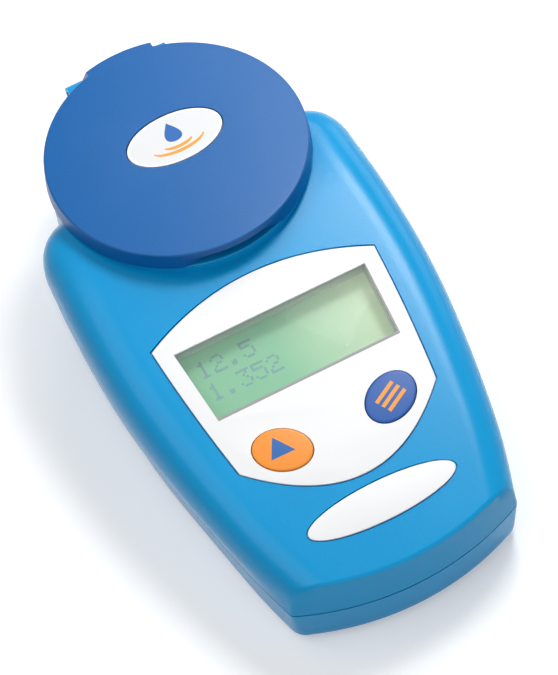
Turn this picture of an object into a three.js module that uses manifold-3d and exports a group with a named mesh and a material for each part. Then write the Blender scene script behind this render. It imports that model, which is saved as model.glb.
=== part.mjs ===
// Palm-sized digital refractometer. Lengths are in millimetres, +Z is up and +Y points at the hinge.
// The pieces are laid out from the axis of the round head.
// The outer group moves the whole onto its box's middle.
import * as THREE from 'three';
import { mergeVertices } from 'three/addons/utils/BufferGeometryUtils.js';
import Module from 'manifold-3d';

const wasm = await Module();
wasm.setup();

// Shared clearances and an overrun for cuts
const gap = 0.3;
const runningGap = 0.35;
const overrun = 6;
const hair = 0.02;
const mergeTolerance = 0.003;

// Driving dimensions of the case
const lidTop = 42;
const lidRadius = 29;
const lidRimHeight = 4.3;
const headRadius = lidRadius - gap;
const headTop = lidTop - lidRimHeight - gap;
const deckRise = 2.3;
const deckHeightAtHead = headTop + deckRise;
const deckTilt = Math.atan(0.1708);
const shellBase = 0.8;
const partingHeight = 11.8;
const partingGap = 0.3;
const wall = 2.2;
const frontReach = 106.3;
const frontBulge = 6.3;
const frontHalfWidth = 26.9;
const shoulderHalfWidth = 38.3;
const shoulderTaper = 0.7;
const shoulderEndHalfWidth = shoulderHalfWidth - shoulderTaper;
const shoulderBack = 5.7;
const shoulderCorner = 15.2;
const shoulderRoll = 9.9;
const shoulderDrop = 11.4;
const shoulderFillet = 8.5;
const shoulderTuck = 2;
const shoulderLowerDraft = 2.3;
const sideStart = -24;
const frontFillet = 6;
const frontCorner = 2;
const footCorner = 5.5;
const creaseRound = 1.3;
const baseRound = 4;
const lowerDraft = 1.2;
const upperDraft = 0.4;
// Side of the plan outline: share of the way from sideStart to the front corner, share of the widening
const sideShares = [
  [0, 1], [0.18, 1], [0.34, 0.93], [0.5, 0.79], [0.67, 0.59], [0.84, 0.34], [1, 0], [1.16, -0.4],
];

// Sample well in the head
const dishMargin = 4.2;
const dishRadius = headRadius - dishMargin;
const dishFlange = 1.2;
const dishFlangeWidth = 8.5;
const dishWall = 1.2;
const wellRadius = dishRadius - dishFlangeWidth;
const wellDepth = 4.8;
const wellLedge = 2.5;
const prismRadius = 5;
const wellFloorRadius = prismRadius + wellLedge;
const prismNeck = 3.3;
const prismBodyHalfWidth = 5.6;
const prismBodyTop = 7.5;
const prismBodyBottom = 3.5;
const prismBodyHeight = 7;
const sealBead = 0.7;

// Lid and hinge
const lidPlate = 2;
const lidRimWall = 1.7;
const lidFlare = 0.3;
const lidEdgeRound = 0.5;
const notchHalfWidth = 11.5;
const notchHeight = 2.7;
const notchWall = 1.3;
const badgeHalfLength = 11.1;
const badgeHalfWidth = 6.5;
const badgeThickness = 0.8;
const badgeX = 0.9;
const badgeY = 2.5;
const sealInset = 3.5;
const sealRadius = dishRadius - sealInset;
const sealWidth = 2.2;
const sealGroove = 0.7;
const hingeDrop = 4;
const hingeHeight = headTop - hingeDrop;
const knuckleRadius = 2.2;
const knuckleHalfWidth = 7.9;
const lugThickness = 4;
const pinRadius = 1;
const pinInset = 0.4;
const strapOverhang = 1.5;
const strapReach = headRadius + strapOverhang;
const hingeBack = headRadius + runningGap + knuckleRadius;

// Optics under the well
const opticsSide = 3.1;
const opticsHalfWidth = prismBodyHalfWidth + gap + opticsSide;
const opticsEnd = 7.2;
const opticsHalfLength = prismBodyTop + gap + opticsEnd;
const opticsDrop = 0.8;
const opticsTop = headTop - wellDepth - prismNeck - opticsDrop;
const opticsHeight = 18.5;
const opticsBottom = opticsTop - opticsHeight;
const lampRadius = 2.5;
const lampLength = 6;
const lampDrop = 8.5;
const lampHeight = opticsTop - lampDrop;
const lampRim = 0.8;
const sensorWidth = 9;
const sensorHeight = 4;
const sensorThickness = 1.6;
const sensorBoardLap = 1.5;
const sensorBoardHalfWidth = opticsHalfWidth + sensorBoardLap;
const sensorBoardHeight = 16;
const sensorBoardThickness = 1.2;
const sensorBoardRise = 1;
const sensorBoardBottom = opticsBottom + sensorBoardRise;
const cableWidth = 7;
const cableThickness = 0.4;
const cableTensionShare = 0.3;

// Front panel on the sloping deck: x from the middle, y down the slope from the head's axis
const panelOffset = 11.2;
const panelTopHalfWidth = 26.7;
const panelTopCorner = -lidRadius - panelOffset;
const panelTopBow = 6.9;
const panelSideBow = 0.4;
const panelBottomHalfWidth = 23.3;
const panelBottomBow = 12.1;
const panelThickness = 0.5;
const panelProud = 0.15;
const panelEdgeGap = 0.35;
const windowInset = 2.7;
const windowTop = panelTopCorner - windowInset;
const windowLength = 17.5;
const windowBottom = windowTop - windowLength;
const windowMargin = 3.9;
const windowTopHalfWidth = panelTopHalfWidth - windowMargin;
const windowTaper = 1.3;
const windowBottomHalfWidth = windowTopHalfWidth - windowTaper;
const windowThickness = 1;
const windowLap = 1.2;
const bezelWall = 1;
const bezelFlange = 2.6;
const bezelFlangeThickness = 0.8;
const displayDepth = 5.2;
const displayThickness = 1.8;
const backlightThickness = 0.6;
const keyX = 12.85;
const keyDrop = 12.8;
const keyY = windowBottom - keyDrop;
const panelCornerDrop = 0.7;
const panelBottomCorner = keyY - panelCornerDrop;
const keyHalfLength = 6.6;
const keyHalfWidth = 5;
const keyTurn = 29 * Math.PI / 180;
const keyProud = 0.6;
const keyCrown = 0.35;
const keyFlange = 1.1;
const keyFlangeThickness = 0.8;
const keyTravel = 0.4;
const keyStemRadius = 2;
const plateInset = 13.2;
const plateY = plateInset - frontReach;
const plateHalfLength = 17.3;
const plateHalfWidth = 4.4;
const switchSide = 6;
const switchHeight = 3.5;
const switchButtonRadius = 1.7;
const boardDepth = displayDepth + displayThickness + backlightThickness + 2 * gap;
const boardThickness = 1.6;
const boardInset = 0.7;
const boardHalfWidth = panelTopHalfWidth - boardInset;
const boardLead = 4.7;
const boardTop = panelTopCorner + boardLead;
const boardEnd = 1.2;
const boardBottom = keyY - switchSide / 2 - boardEnd;
const postRadius = 2;
const postInset = 3;
const postX = boardHalfWidth - postInset;
const postLead = 2.5;
const postUpperY = boardTop - postLead;
const postAboveKey = 6.2;
const postLowerY = keyY + postAboveKey;
const chipSide = 9;
const chipThickness = 1.4;
const chipOffset = 9.1;
const chipY = windowTop - chipOffset;

// Battery bay, cells and the door below
const doorThickness = 1.6;
const doorLap = 1.6;
const doorEdgeRound = 2;
const doorRibWall = 1.4;
const doorRibHeight = 1.5;
const doorGripLength = 9;
const doorGripRibs = 4;
const doorGripRib = 0.4;
const cellRadius = 5.25;
const cellLength = 43.3;
const cellNubRadius = 1.9;
const cellNubLength = 1.1;
const cellGap = 0.9;
const cellSpacing = 2 * cellRadius + cellGap;
const cellFloor = shellBase + doorThickness + gap;
const bayInset = 16.3;
const bayFront = bayInset - frontReach;
const springRoom = 8.7;
const bayLength = cellLength + springRoom;
const bayMargin = 1.45;
const bayHalfWidth = cellSpacing / 2 + cellRadius + bayMargin;
const bayWall = 1.5;
const bayCeiling = 1;
const contactThickness = 0.4;
const contactMargin = 3.5;
const contactHeight = 2 * cellRadius - contactMargin;
const contactInset = 1;
const springWire = 0.35;
const springRadius = 2.6;
const springTipRadius = 1.6;
const springTurns = 4;

// Fasteners and feet
const bossRadius = 3;
const screwMargin = 4.1;
const screwX = bayHalfWidth + bayWall + bossRadius + screwMargin;
const screwInset = 13.3;
const screwFrontY = screwInset - frontReach;
const screwHeadX = 18;
const screwHeadY = 15.5;
const screwRadius = 1;
const screwHeadRadius = 2;
const screwHeadHeight = 1.4;
const screwLength = 12;
const screwSink = 4;
const footRadius = 4;
const footSink = 0.7;
const footEdge = 0.5;
const footMargin = 2.1;
const footX = bayHalfWidth + bayWall + footRadius + footMargin;
const footInset = 22.3;
const footFrontY = footInset - frontReach;
const footBackX = 17.5;
const footBackY = 3;

// Fineness of the curves
const roundSteps = 32;
const headSteps = 52;
const ovalSteps = 26;
const fineSteps = 12;
const filletSteps = 6;
const insideSteps = 2;
const cornerSteps = 6;
const sideSteps = 12;
const edgeSteps = 3;
const creaseSteps = 4;
const panelFrontSteps = 18;
const panelBackSteps = 14;
const panelSideSteps = 4;
const cableSteps = 32;
const springTurnSteps = 10;
const springSides = 5;

const up = new THREE.Vector3(0, 0, 1);
const flat = (x, y) => new THREE.Vector2(x, y);
const deckHeight = (y) => deckHeightAtHead + y * Math.tan(deckTilt);
const rimBottom = lidTop - lidRimHeight;
const deck = new THREE.Matrix4().makeRotationX(deckTilt).setPosition(0, 0, deckHeightAtHead);

// A closed manifold solid from a three.js geometry
function solid(geometry) {
  const bare = geometry.index ? geometry : geometry.clone();
  bare.deleteAttribute('normal');
  bare.deleteAttribute('uv');
  const merged = mergeVertices(bare, mergeTolerance);
  const corners = merged.index.array;
  const kept = [];
  for (let i = 0; i < corners.length; i += 3) {
    const [a, b, c] = [corners[i], corners[i + 1], corners[i + 2]];
    if (a !== b && b !== c && c !== a) kept.push(a, b, c);
  }
  const vertProperties = new Float32Array(merged.attributes.position.array);
  return new wasm.Manifold(new wasm.Mesh({ numProp: 3, vertProperties, triVerts: new Uint32Array(kept) }));
}

// A closed surface through rings of points in mirrored pairs; its two ends close pair by pair across X
function mirroredLoft(rings) {
  const count = rings[0].length;
  const positions = [];
  const triangles = [];
  for (const ring of rings) {
    for (const p of ring) positions.push(p.x, p.y, p.z);
    for (const p of [...ring].reverse()) positions.push(-p.x, p.y, p.z);
  }
  const around = 2 * count;
  for (let level = 0; level < rings.length - 1; level += 1) {
    for (let k = 0; k < around; k += 1) {
      const a = level * around + k;
      const b = level * around + (k + 1) % around;
      triangles.push(a, a + around, b, b, a + around, b + around);
    }
  }
  const last = (rings.length - 1) * around;
  for (let k = 0; k < count - 1; k += 1) {
    const [a, b, c, d] = [k, k + 1, around - 2 - k, around - 1 - k];
    triangles.push(a, b, c, a, c, d);
    triangles.push(last + a, last + c, last + b, last + a, last + d, last + c);
  }
  const geometry = new THREE.BufferGeometry();
  geometry.setAttribute('position', new THREE.Float32BufferAttribute(positions, 3));
  geometry.setIndex(triangles);
  return solid(geometry);
}

// A straight prism along +Z between two heights
function prism(points, bottom, top, holes = []) {
  const shape = new THREE.Shape(points);
  shape.holes = holes.map((hole) => new THREE.Path(hole));
  const geometry = new THREE.ExtrudeGeometry(shape, { depth: top - bottom, bevelEnabled: false });
  return geometry.translate(0, 0, bottom);
}

// An upright turned piece from its half profile of radius and height
function turned(profile, steps = roundSteps) {
  const points = profile.map(([r, z]) => flat(r, z));
  return new THREE.LatheGeometry(points, steps).rotateX(Math.PI / 2);
}

function drum(radius, bottom, top, steps = roundSteps) {
  return turned([[0, bottom], [radius, bottom], [radius, top], [0, top]], steps);
}

function block(x, y, z, width, length, height) {
  return new THREE.BoxGeometry(width, length, height).translate(x, y, z);
}

// A profile drawn in Y and Z, carried along X from -half to +half
function crosswise(points, half) {
  const shape = new THREE.Shape(points);
  const geometry = new THREE.ExtrudeGeometry(shape, { depth: 2 * half, bevelEnabled: false });
  geometry.translate(0, 0, -half);
  // shape x becomes Y, shape y becomes Z and the run becomes X
  const turn = new THREE.Matrix4().makeBasis(new THREE.Vector3(0, 1, 0), up, new THREE.Vector3(1, 0, 0));
  return geometry.applyMatrix4(turn);
}

// Points of a slightly bowed edge from a to b that stands out to the right by sag, without the last point
function bow(a, b, sag, steps) {
  const along = b.clone().sub(a);
  const out = flat(along.y, -along.x).normalize();
  return Array.from({ length: steps }, (_, i) => {
    const t = i / steps;
    return a.clone().addScaledVector(along, t).addScaledVector(out, 4 * sag * t * (1 - t));
  });
}

// Points of an arc about a centre, both ends included
function arc(cx, cy, radius, from, to, steps) {
  return Array.from({ length: steps + 1 }, (_, i) => {
    const angle = from + (to - from) * i / steps;
    return flat(cx + radius * Math.cos(angle), cy + radius * Math.sin(angle));
  });
}

function oval(cx, cy, halfLength, halfWidth, turn = 0, steps = ovalSteps) {
  return Array.from({ length: steps }, (_, i) => {
    const angle = 2 * Math.PI * i / steps;
    return flat(halfLength * Math.cos(angle), halfWidth * Math.sin(angle)).rotateAround(flat(0, 0), turn)
      .add(flat(cx, cy));
  });
}

const inDeck = (geometry) => solid(geometry.applyMatrix4(deck));

const frontRadius = (frontHalfWidth ** 2 + frontBulge ** 2) / (2 * frontBulge);

// The side wall runs from the shoulders at sideStart to the front corners at sideEnd
const sideEnd = frontBulge - frontReach;
const sideShare = (y) => Math.min(Math.max((y - sideEnd) / (sideStart - sideEnd), 0), 1);
const sideTuck = (y) => shoulderTuck * sideShare(y);
const sideDraft = (y) => lowerDraft + (shoulderLowerDraft - lowerDraft) * sideShare(y);
const sideFillet = (y) => frontFillet + (shoulderFillet - frontFillet) * sideShare(y);

// Right half of the case's plan outline, from the back of the shoulder to past the front
function planOutline() {
  const run = sideEnd - sideStart;
  const spread = shoulderHalfWidth - frontHalfWidth;
  const cornerFoot = shoulderBack - shoulderCorner;
  const cornerX = shoulderEndHalfWidth - shoulderCorner;
  const corner = arc(cornerX, cornerFoot, shoulderCorner, Math.PI / 2, 0, cornerSteps);
  const knots = sideShares
    .map(([along, out]) => flat(frontHalfWidth + spread * out, sideStart + run * along));
  const side = new THREE.SplineCurve([corner[cornerSteps], ...knots]).getPoints(sideSteps);
  return [...corner, ...side.slice(1)];
}

// The outline drawn in square to itself, by a distance that may change along Y
function drawnIn(outline, distance) {
  return outline.map((p, i) => {
    const before = outline[Math.max(i - 1, 0)];
    const after = outline[Math.min(i + 1, outline.length - 1)];
    const along = after.clone().sub(before).normalize();
    const inward = i === 0 ? flat(0, -1) : flat(along.y, -along.x);
    if (i === outline.length - 1) inward.set(-1, 0);
    return p.clone().addScaledVector(inward, distance(p.y));
  });
}

// Height of the case's top along Y: the sloping deck, level by the head, rolling off behind the shoulders
function topHeight(y) {
  const level = Math.min(deckHeight(y), headTop);
  const over = y - (shoulderBack - shoulderRoll);
  if (over <= 0) return level;
  const fallen = 1 - Math.sqrt(Math.max(1 - (over / shoulderRoll) ** 2, 0));
  return level - shoulderDrop * fallen;
}

// Outer form of the case at offset 0, the inside of its wall at offset wall
function caseForm(offset) {
  const outline = planOutline();
  const bottomRound = baseRound - offset / 2;
  const lowWall = shellBase + offset + bottomRound;
  const rings = [];
  const ring = (inset, height) => {
    const line = drawnIn(outline, (y) => offset + inset(y));
    rings.push(line.map((p) => new THREE.Vector3(p.x, p.y, height(p.y))));
  };
  for (let i = 0; i <= edgeSteps; i += 1) {
    const angle = Math.PI / 2 * i / edgeSteps;
    const inset = (y) => sideTuck(y) + sideDraft(y) + bottomRound * (1 - Math.sin(angle));
    ring(inset, () => lowWall - bottomRound * Math.cos(angle));
  }
  ring(sideTuck, () => partingHeight);
  const steps = offset > 0 ? insideSteps : filletSteps;
  const fillet = (y) => sideFillet(y) - offset;
  for (let i = 0; i <= steps; i += 1) {
    const angle = Math.PI / 2 * i / steps;
    const inset = (y) => upperDraft + fillet(y) * (1 - Math.cos(angle));
    const height = (y) => topHeight(y) - offset - fillet(y) * (1 - Math.sin(angle));
    ring(inset, (y) => Math.max(height(y), partingHeight + gap));
  }
  const bar = mirroredLoft(rings);
  return bar.intersect(frontForm(offset)).intersect(cornerForm(offset)).add(headForm(offset));
}

// The curved front wall with its rounded crease, as the near side of a large block
function frontForm(offset) {
  const half = shoulderHalfWidth + overrun;
  const far = shoulderBack + overrun;
  const reach = Math.asin(half / frontRadius) - Math.PI / 2;
  const line = arc(0, frontRadius - frontReach, frontRadius, reach, hair - Math.PI / 2, cornerSteps * 2);
  const floor = shellBase + offset;
  const bottomRound = baseRound - offset / 2;
  const lowWall = floor + bottomRound;
  const rings = [];
  const ring = (inset, height) => {
    const drawn = line.map((p) => {
      const y = p.y + offset + inset;
      return new THREE.Vector3(p.x, y, height(y));
    });
    rings.push([new THREE.Vector3(half, far, height(far)), ...drawn]);
  };
  for (let i = 0; i <= edgeSteps; i += 1) {
    const angle = Math.PI / 2 * i / edgeSteps;
    const inset = lowerDraft + bottomRound * (1 - Math.sin(angle));
    ring(inset, () => lowWall - bottomRound * Math.cos(angle) - (i === 0 ? overrun * hair : 0));
  }
  ring(0, () => partingHeight);
  for (let i = 0; i < creaseSteps; i += 1) {
    const angle = Math.PI / 2 * i / creaseSteps;
    const drop = offset + creaseRound * (1 - Math.sin(angle));
    ring(upperDraft + creaseRound * (1 - Math.cos(angle)), (y) => deckHeight(y) - drop);
  }
  ring(upperDraft + creaseRound + overrun * hair, (y) => deckHeight(y) - offset + overrun * hair);
  ring(upperDraft + creaseRound + overrun * hair, (y) => deckHeight(y) + overrun);
  return mirroredLoft(rings);
}

// Upright block whose plan rounds off the corner between the side wall and the front wall, more at the foot
function cornerForm(offset) {
  const outline = planOutline().filter((p) => p.y > sideEnd);
  const sideAlong = flat(frontHalfWidth, sideEnd).sub(outline[outline.length - 1]).normalize();
  const sideOut = flat(-sideAlong.y, sideAlong.x);
  const frontOut = flat(frontHalfWidth, sideEnd + frontReach - frontRadius).normalize();
  const cross = sideOut.x * frontOut.y - sideOut.y * frontOut.x;
  const wide = shoulderHalfWidth + overrun;
  const lift = (radius, z) => {
    // the round's centre lies as deep behind both walls as its radius, less a hair
    const depth = radius - hair;
    const x = frontHalfWidth - offset - depth * (frontOut.y - sideOut.y) / cross;
    const y = sideEnd + offset - depth * (sideOut.x - frontOut.x) / cross;
    const over = Math.acos(depth / radius) - 2 * Math.PI;
    const bend = arc(x, y, radius, sideOut.angle() + over, frontOut.angle() - over - 4 * Math.PI, cornerSteps);
    const half = [flat(wide, shoulderBack + overrun), flat(wide, bend[0].y), ...bend,
      flat(bend[cornerSteps].x, -frontReach - overrun)];
    return half.map((p) => new THREE.Vector3(p.x, p.y, z));
  };
  const below = [lift(footCorner, -overrun), lift(footCorner, shellBase)];
  return mirroredLoft([...below, lift(frontCorner, partingHeight), lift(frontCorner, lidTop + overrun)]);
}

// The round head, with the same foot as the rest of the case
function headForm(offset) {
  const floor = shellBase + offset;
  const bottomRound = baseRound - offset / 2;
  const lowRadius = headRadius - lowerDraft - offset;
  const foot = arc(lowRadius - bottomRound, floor + bottomRound, bottomRound, -Math.PI / 2, 0, edgeSteps)
    .map((p) => [p.x, p.y]);
  const outer = headRadius - offset;
  const top = headTop - offset;
  return solid(turned([[0, floor], ...foot, [outer, partingHeight], [outer, top], [0, top]], headSteps));
}

// The shield-shaped panel outline, grown by a distance
function panelOutline(grow) {
  const topRight = flat(panelTopHalfWidth + grow, panelTopCorner + grow);
  const topLeft = flat(-topRight.x, topRight.y);
  const lowRight = flat(panelBottomHalfWidth + grow, panelBottomCorner);
  const lowLeft = flat(-lowRight.x, lowRight.y);
  return [
    ...bow(lowLeft, lowRight, panelBottomBow + grow, panelFrontSteps),
    ...bow(lowRight, topRight, panelSideBow, panelSideSteps),
    ...bow(topRight, topLeft, panelTopBow, panelBackSteps),
    ...bow(topLeft, lowLeft, panelSideBow, panelSideSteps),
  ];
}

function windowOutline(grow) {
  return [
    flat(-windowBottomHalfWidth - grow, windowBottom - grow),
    flat(windowBottomHalfWidth + grow, windowBottom - grow),
    flat(windowTopHalfWidth + grow, windowTop + grow),
    flat(-windowTopHalfWidth - grow, windowTop + grow),
  ];
}

const plateOutline = (grow) => oval(0, plateY, plateHalfLength + grow, plateHalfWidth + grow);

function keyOutline(side, grow) {
  return oval(side * keyX, keyY, keyHalfLength + grow, keyHalfWidth + grow, side * keyTurn);
}

const screwPlaces = [
  [-screwX, screwFrontY], [screwX, screwFrontY], [-screwHeadX, screwHeadY], [screwHeadX, screwHeadY],
];
const footPlaces = [
  [-footX, footFrontY], [footX, footFrontY], [-footBackX, footBackY], [footBackX, footBackY],
];
const outerForm = caseForm(0);
const innerForm = caseForm(wall);
const everything = 2 * frontReach;
const halfSpace = (middle) => solid(block(0, 0, middle, everything, everything, everything));
const lowHalf = halfSpace(partingHeight - partingGap / 2 - everything / 2);
const highHalf = halfSpace(partingHeight + partingGap / 2 + everything / 2);

// One hinge lug behind the head: a round eye on a gusset that runs down into the head's wall
function hingeLug(side) {
  const eye = arc(hingeBack, hingeHeight, knuckleRadius, Math.PI / 2, -Math.PI / 4, fineSteps);
  const root = headRadius - wall;
  const rootFoot = hingeHeight - 2 * knuckleRadius - wall;
  const points = [flat(root, hingeHeight + knuckleRadius), ...eye, flat(root, rootFoot)];
  const middle = side * (knuckleHalfWidth + runningGap + lugThickness / 2);
  return solid(crosswise(points, lugThickness / 2).translate(middle, 0, 0));
}

function hingeBore() {
  const bore = new THREE.CylinderGeometry(pinRadius + gap, pinRadius + gap, everything, fineSteps);
  return solid(bore.rotateZ(Math.PI / 2).translate(0, hingeBack, hingeHeight));
}

// Case top: hollow moulding with the head, the deck's recesses and openings, bosses, posts and two hinge lugs
function upperShell() {
  let shell = outerForm.subtract(innerForm);
  for (const [x, y] of screwPlaces) {
    const post = drum(bossRadius, partingHeight, headTop, fineSteps).translate(x, y, 0);
    const boss = solid(post).intersect(outerForm);
    const pilotTop = screwSink + screwLength + screwRadius + gap;
    const pilot = solid(drum(screwRadius + gap, 0, pilotTop, fineSteps).translate(x, y, 0));
    shell = shell.add(boss).subtract(pilot);
  }
  for (const x of [-postX, postX]) {
    for (const y of [postUpperY, postLowerY]) {
      shell = shell.add(inDeck(drum(postRadius, gap - boardDepth, -wall / 2, fineSteps).translate(x, y, 0)));
    }
  }
  const seat = headTop - dishFlange - gap;
  shell = shell.subtract(solid(drum(dishRadius + gap, seat, lidTop, headSteps)));
  shell = shell.subtract(solid(drum(wellRadius + dishWall + gap, 0, lidTop, headSteps)));
  const ledge = drum(dishRadius + wall, seat - wall, seat, headSteps);
  const ledgeHole = drum(wellRadius + dishWall + gap, 0, lidTop, headSteps);
  shell = shell.add(solid(ledge).intersect(outerForm).subtract(solid(ledgeHole)));
  const recess = gap + panelThickness - panelProud;
  shell = shell.subtract(inDeck(prism(panelOutline(panelEdgeGap), -recess, overrun)));
  shell = shell.subtract(inDeck(prism(plateOutline(panelEdgeGap), -recess, overrun)));
  shell = shell.subtract(inDeck(prism(windowOutline(windowLap + gap), -wall - overrun / 2, overrun)));
  for (const side of [-1, 1]) {
    shell = shell.subtract(inDeck(prism(keyOutline(side, runningGap), -wall - overrun / 2, overrun)));
    shell = shell.add(hingeLug(side));
  }
  return shell.subtract(hingeBore()).intersect(highHalf);
}

// Case bottom: hollow tray with the battery bay, its door opening, screw bosses and foot recesses
function lowerShell() {
  const bayMiddle = bayFront + bayLength / 2;
  const bayInside = cellFloor + 2 * cellRadius + gap;
  const bayTop = bayInside + bayCeiling;
  let shell = outerForm.subtract(innerForm).intersect(lowHalf);
  const bayWidth = 2 * (bayHalfWidth + bayWall);
  const bayMiddleHeight = (shellBase + bayTop) / 2;
  const bay = block(0, bayMiddle, bayMiddleHeight, bayWidth, bayLength + 2 * bayWall, bayTop - shellBase);
  shell = shell.add(solid(bay));
  for (const [x, y] of screwPlaces) {
    const bossTop = partingHeight - partingGap / 2;
    const boss = drum(bossRadius, shellBase + wall / 2, bossTop, fineSteps).translate(x, y, 0);
    const shank = drum(screwRadius + gap, 0, partingHeight + overrun, fineSteps).translate(x, y, 0);
    const headHole = drum(screwHeadRadius + gap, 0, screwSink + gap, fineSteps).translate(x, y, 0);
    shell = shell.add(solid(boss)).subtract(solid(shank)).subtract(solid(headHole));
  }
  for (const [x, y] of footPlaces) {
    const recess = drum(footRadius + gap, 0, shellBase + footSink, ovalSteps).translate(x, y, 0);
    shell = shell.subtract(solid(recess));
  }
  const hollow = block(0, bayMiddle, 0, 2 * bayHalfWidth, bayLength, 2 * bayInside);
  const cover = roundedBlock(doorLap + gap, -overrun, shellBase + doorThickness + gap);
  return shell.subtract(solid(hollow)).subtract(solid(cover));
}

// A block over the battery bay with rounded plan corners, grown by a distance
function roundedBlock(grow, bottom, top) {
  const x = bayHalfWidth + grow - doorEdgeRound;
  const y = bayLength / 2 + grow - doorEdgeRound;
  const points = [
    ...arc(x, y, doorEdgeRound, 0, Math.PI / 2, edgeSteps),
    ...arc(-x, y, doorEdgeRound, Math.PI / 2, Math.PI, edgeSteps),
    ...arc(-x, -y, doorEdgeRound, Math.PI, 1.5 * Math.PI, edgeSteps),
    ...arc(x, -y, doorEdgeRound, 1.5 * Math.PI, 2 * Math.PI, edgeSteps),
  ];
  return prism(points, bottom, top).translate(0, bayFront + bayLength / 2, 0);
}

// Battery door: flush plate with a snap rib inside each end wall of the bay and a ribbed finger pad
function batteryDoor() {
  let door = solid(roundedBlock(doorLap, shellBase, shellBase + doorThickness));
  const ribMiddle = shellBase + doorThickness + doorRibHeight / 2;
  for (const y of [bayFront + gap + doorRibWall / 2, bayFront + bayLength - gap - doorRibWall / 2]) {
    door = door.add(solid(block(0, y, ribMiddle, bayHalfWidth, doorRibWall, doorRibHeight + hair)));
  }
  const ribPitch = doorGripLength / doorGripRibs;
  for (let i = 0; i < doorGripRibs; i += 1) {
    const y = bayFront + bayLength - doorGripLength + i * ribPitch;
    door = door.subtract(solid(block(0, y, shellBase, bayHalfWidth, ribPitch / 2, 2 * doorGripRib)));
  }
  return door;
}

// Lid: shallow cap with a rim, a seal groove, a finger notch, a badge recess and the hinge strap
function lidCover() {
  const inner = lidRadius - lidRimWall;
  const under = lidTop - lidPlate;
  const grooveInside = sealRadius - sealWidth / 2 - gap;
  const grooveOutside = sealRadius + sealWidth / 2 + gap;
  const round = arc(lidRadius - lidEdgeRound, lidTop - lidEdgeRound, lidEdgeRound, 0, Math.PI / 2, edgeSteps)
    .map((p) => [p.x, p.y]);
  let lid = solid(turned([
    [0, under], [grooveInside, under], [grooveInside, under + sealGroove],
    [grooveOutside, under + sealGroove], [grooveOutside, under], [inner, under],
    [inner, rimBottom], [lidRadius + lidFlare, rimBottom], ...round, [0, lidTop],
  ], headSteps));
  const chord = Math.sqrt(lidRadius ** 2 - notchHalfWidth ** 2);
  const web = solid(block(0, -chord + notchWall / 2, (under + rimBottom) / 2, 2 * notchHalfWidth, notchWall,
    under - rimBottom + hair));
  const notch = block(0, -chord - overrun / 2, rimBottom, everything, overrun, 2 * notchHeight);
  lid = lid.add(web.intersect(solid(drum(lidRadius, rimBottom, lidTop, headSteps)))).subtract(solid(notch));
  const badge = prism(badgeOutline(gap), lidTop - badgeThickness - gap, lidTop + overrun);
  return lid.subtract(solid(badge)).add(hingeStrap()).subtract(hingeBore());
}

const badgeOutline = (grow) => oval(badgeX, badgeY, badgeHalfLength + grow, badgeHalfWidth + grow);

// The strap runs back from the lid's top, slopes down behind the head and ends in the knuckle round the pin
function hingeStrap() {
  const front = lidRadius - overrun;
  const under = lidTop - lidPlate;
  const back = hingeBack + knuckleRadius;
  const knuckle = arc(hingeBack, hingeHeight, knuckleRadius, -Math.PI, 0, fineSteps);
  const side = [flat(front, under), flat(hingeBack - knuckleRadius, under), ...knuckle,
    flat(back, lidTop), flat(front, lidTop)];
  const foot = Math.hypot(back, knuckleHalfWidth) + gap;
  const slope = turned([[0, hingeHeight - overrun], [foot, hingeHeight - overrun], [foot, hingeHeight],
    [strapReach, lidTop - lidEdgeRound], [strapReach - lidEdgeRound, lidTop], [0, lidTop]], headSteps);
  return solid(crosswise(side, knuckleHalfWidth)).intersect(solid(slope));
}

function hingePin() {
  const half = knuckleHalfWidth + runningGap + lugThickness - pinInset;
  const pin = new THREE.CylinderGeometry(pinRadius, pinRadius, 2 * half, fineSteps).rotateZ(Math.PI / 2);
  return solid(pin.translate(0, hingeBack, hingeHeight));
}

// Stainless dish: flange on the head's seat, sloping well and a skirt round the prism
function sampleDish() {
  const floor = headTop - wellDepth;
  const outer = wellFloorRadius + dishWall;
  const under = headTop - dishFlange;
  return solid(turned([
    [prismRadius + gap, floor - dishWall], [outer, floor - dishWall], [wellRadius + dishWall / 2, under],
    [dishRadius, under], [dishRadius, headTop], [wellRadius, headTop], [wellFloorRadius, floor],
    [prismRadius + gap, floor], [prismRadius + gap, floor - dishWall],
  ], headSteps));
}

// Measuring prism: round neck whose top is the well's floor, on a body with two slanting faces
function measuringPrism() {
  const top = headTop - wellDepth;
  const bodyTop = top - prismNeck;
  const neck = drum(prismRadius, bodyTop - hair, top, roundSteps);
  const body = crosswise([
    flat(-prismBodyBottom, bodyTop - prismBodyHeight), flat(prismBodyBottom, bodyTop - prismBodyHeight),
    flat(prismBodyTop, bodyTop), flat(-prismBodyTop, bodyTop),
  ], prismBodyHalfWidth);
  return solid(neck).add(solid(body));
}

// Seal round the prism's neck, against the underside of the dish
function prismSeal() {
  const torus = new THREE.TorusGeometry(prismRadius + gap + sealBead, sealBead, fineSteps / 2, roundSteps);
  return solid(torus.translate(0, 0, headTop - wellDepth - dishWall - gap - sealBead));
}

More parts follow.
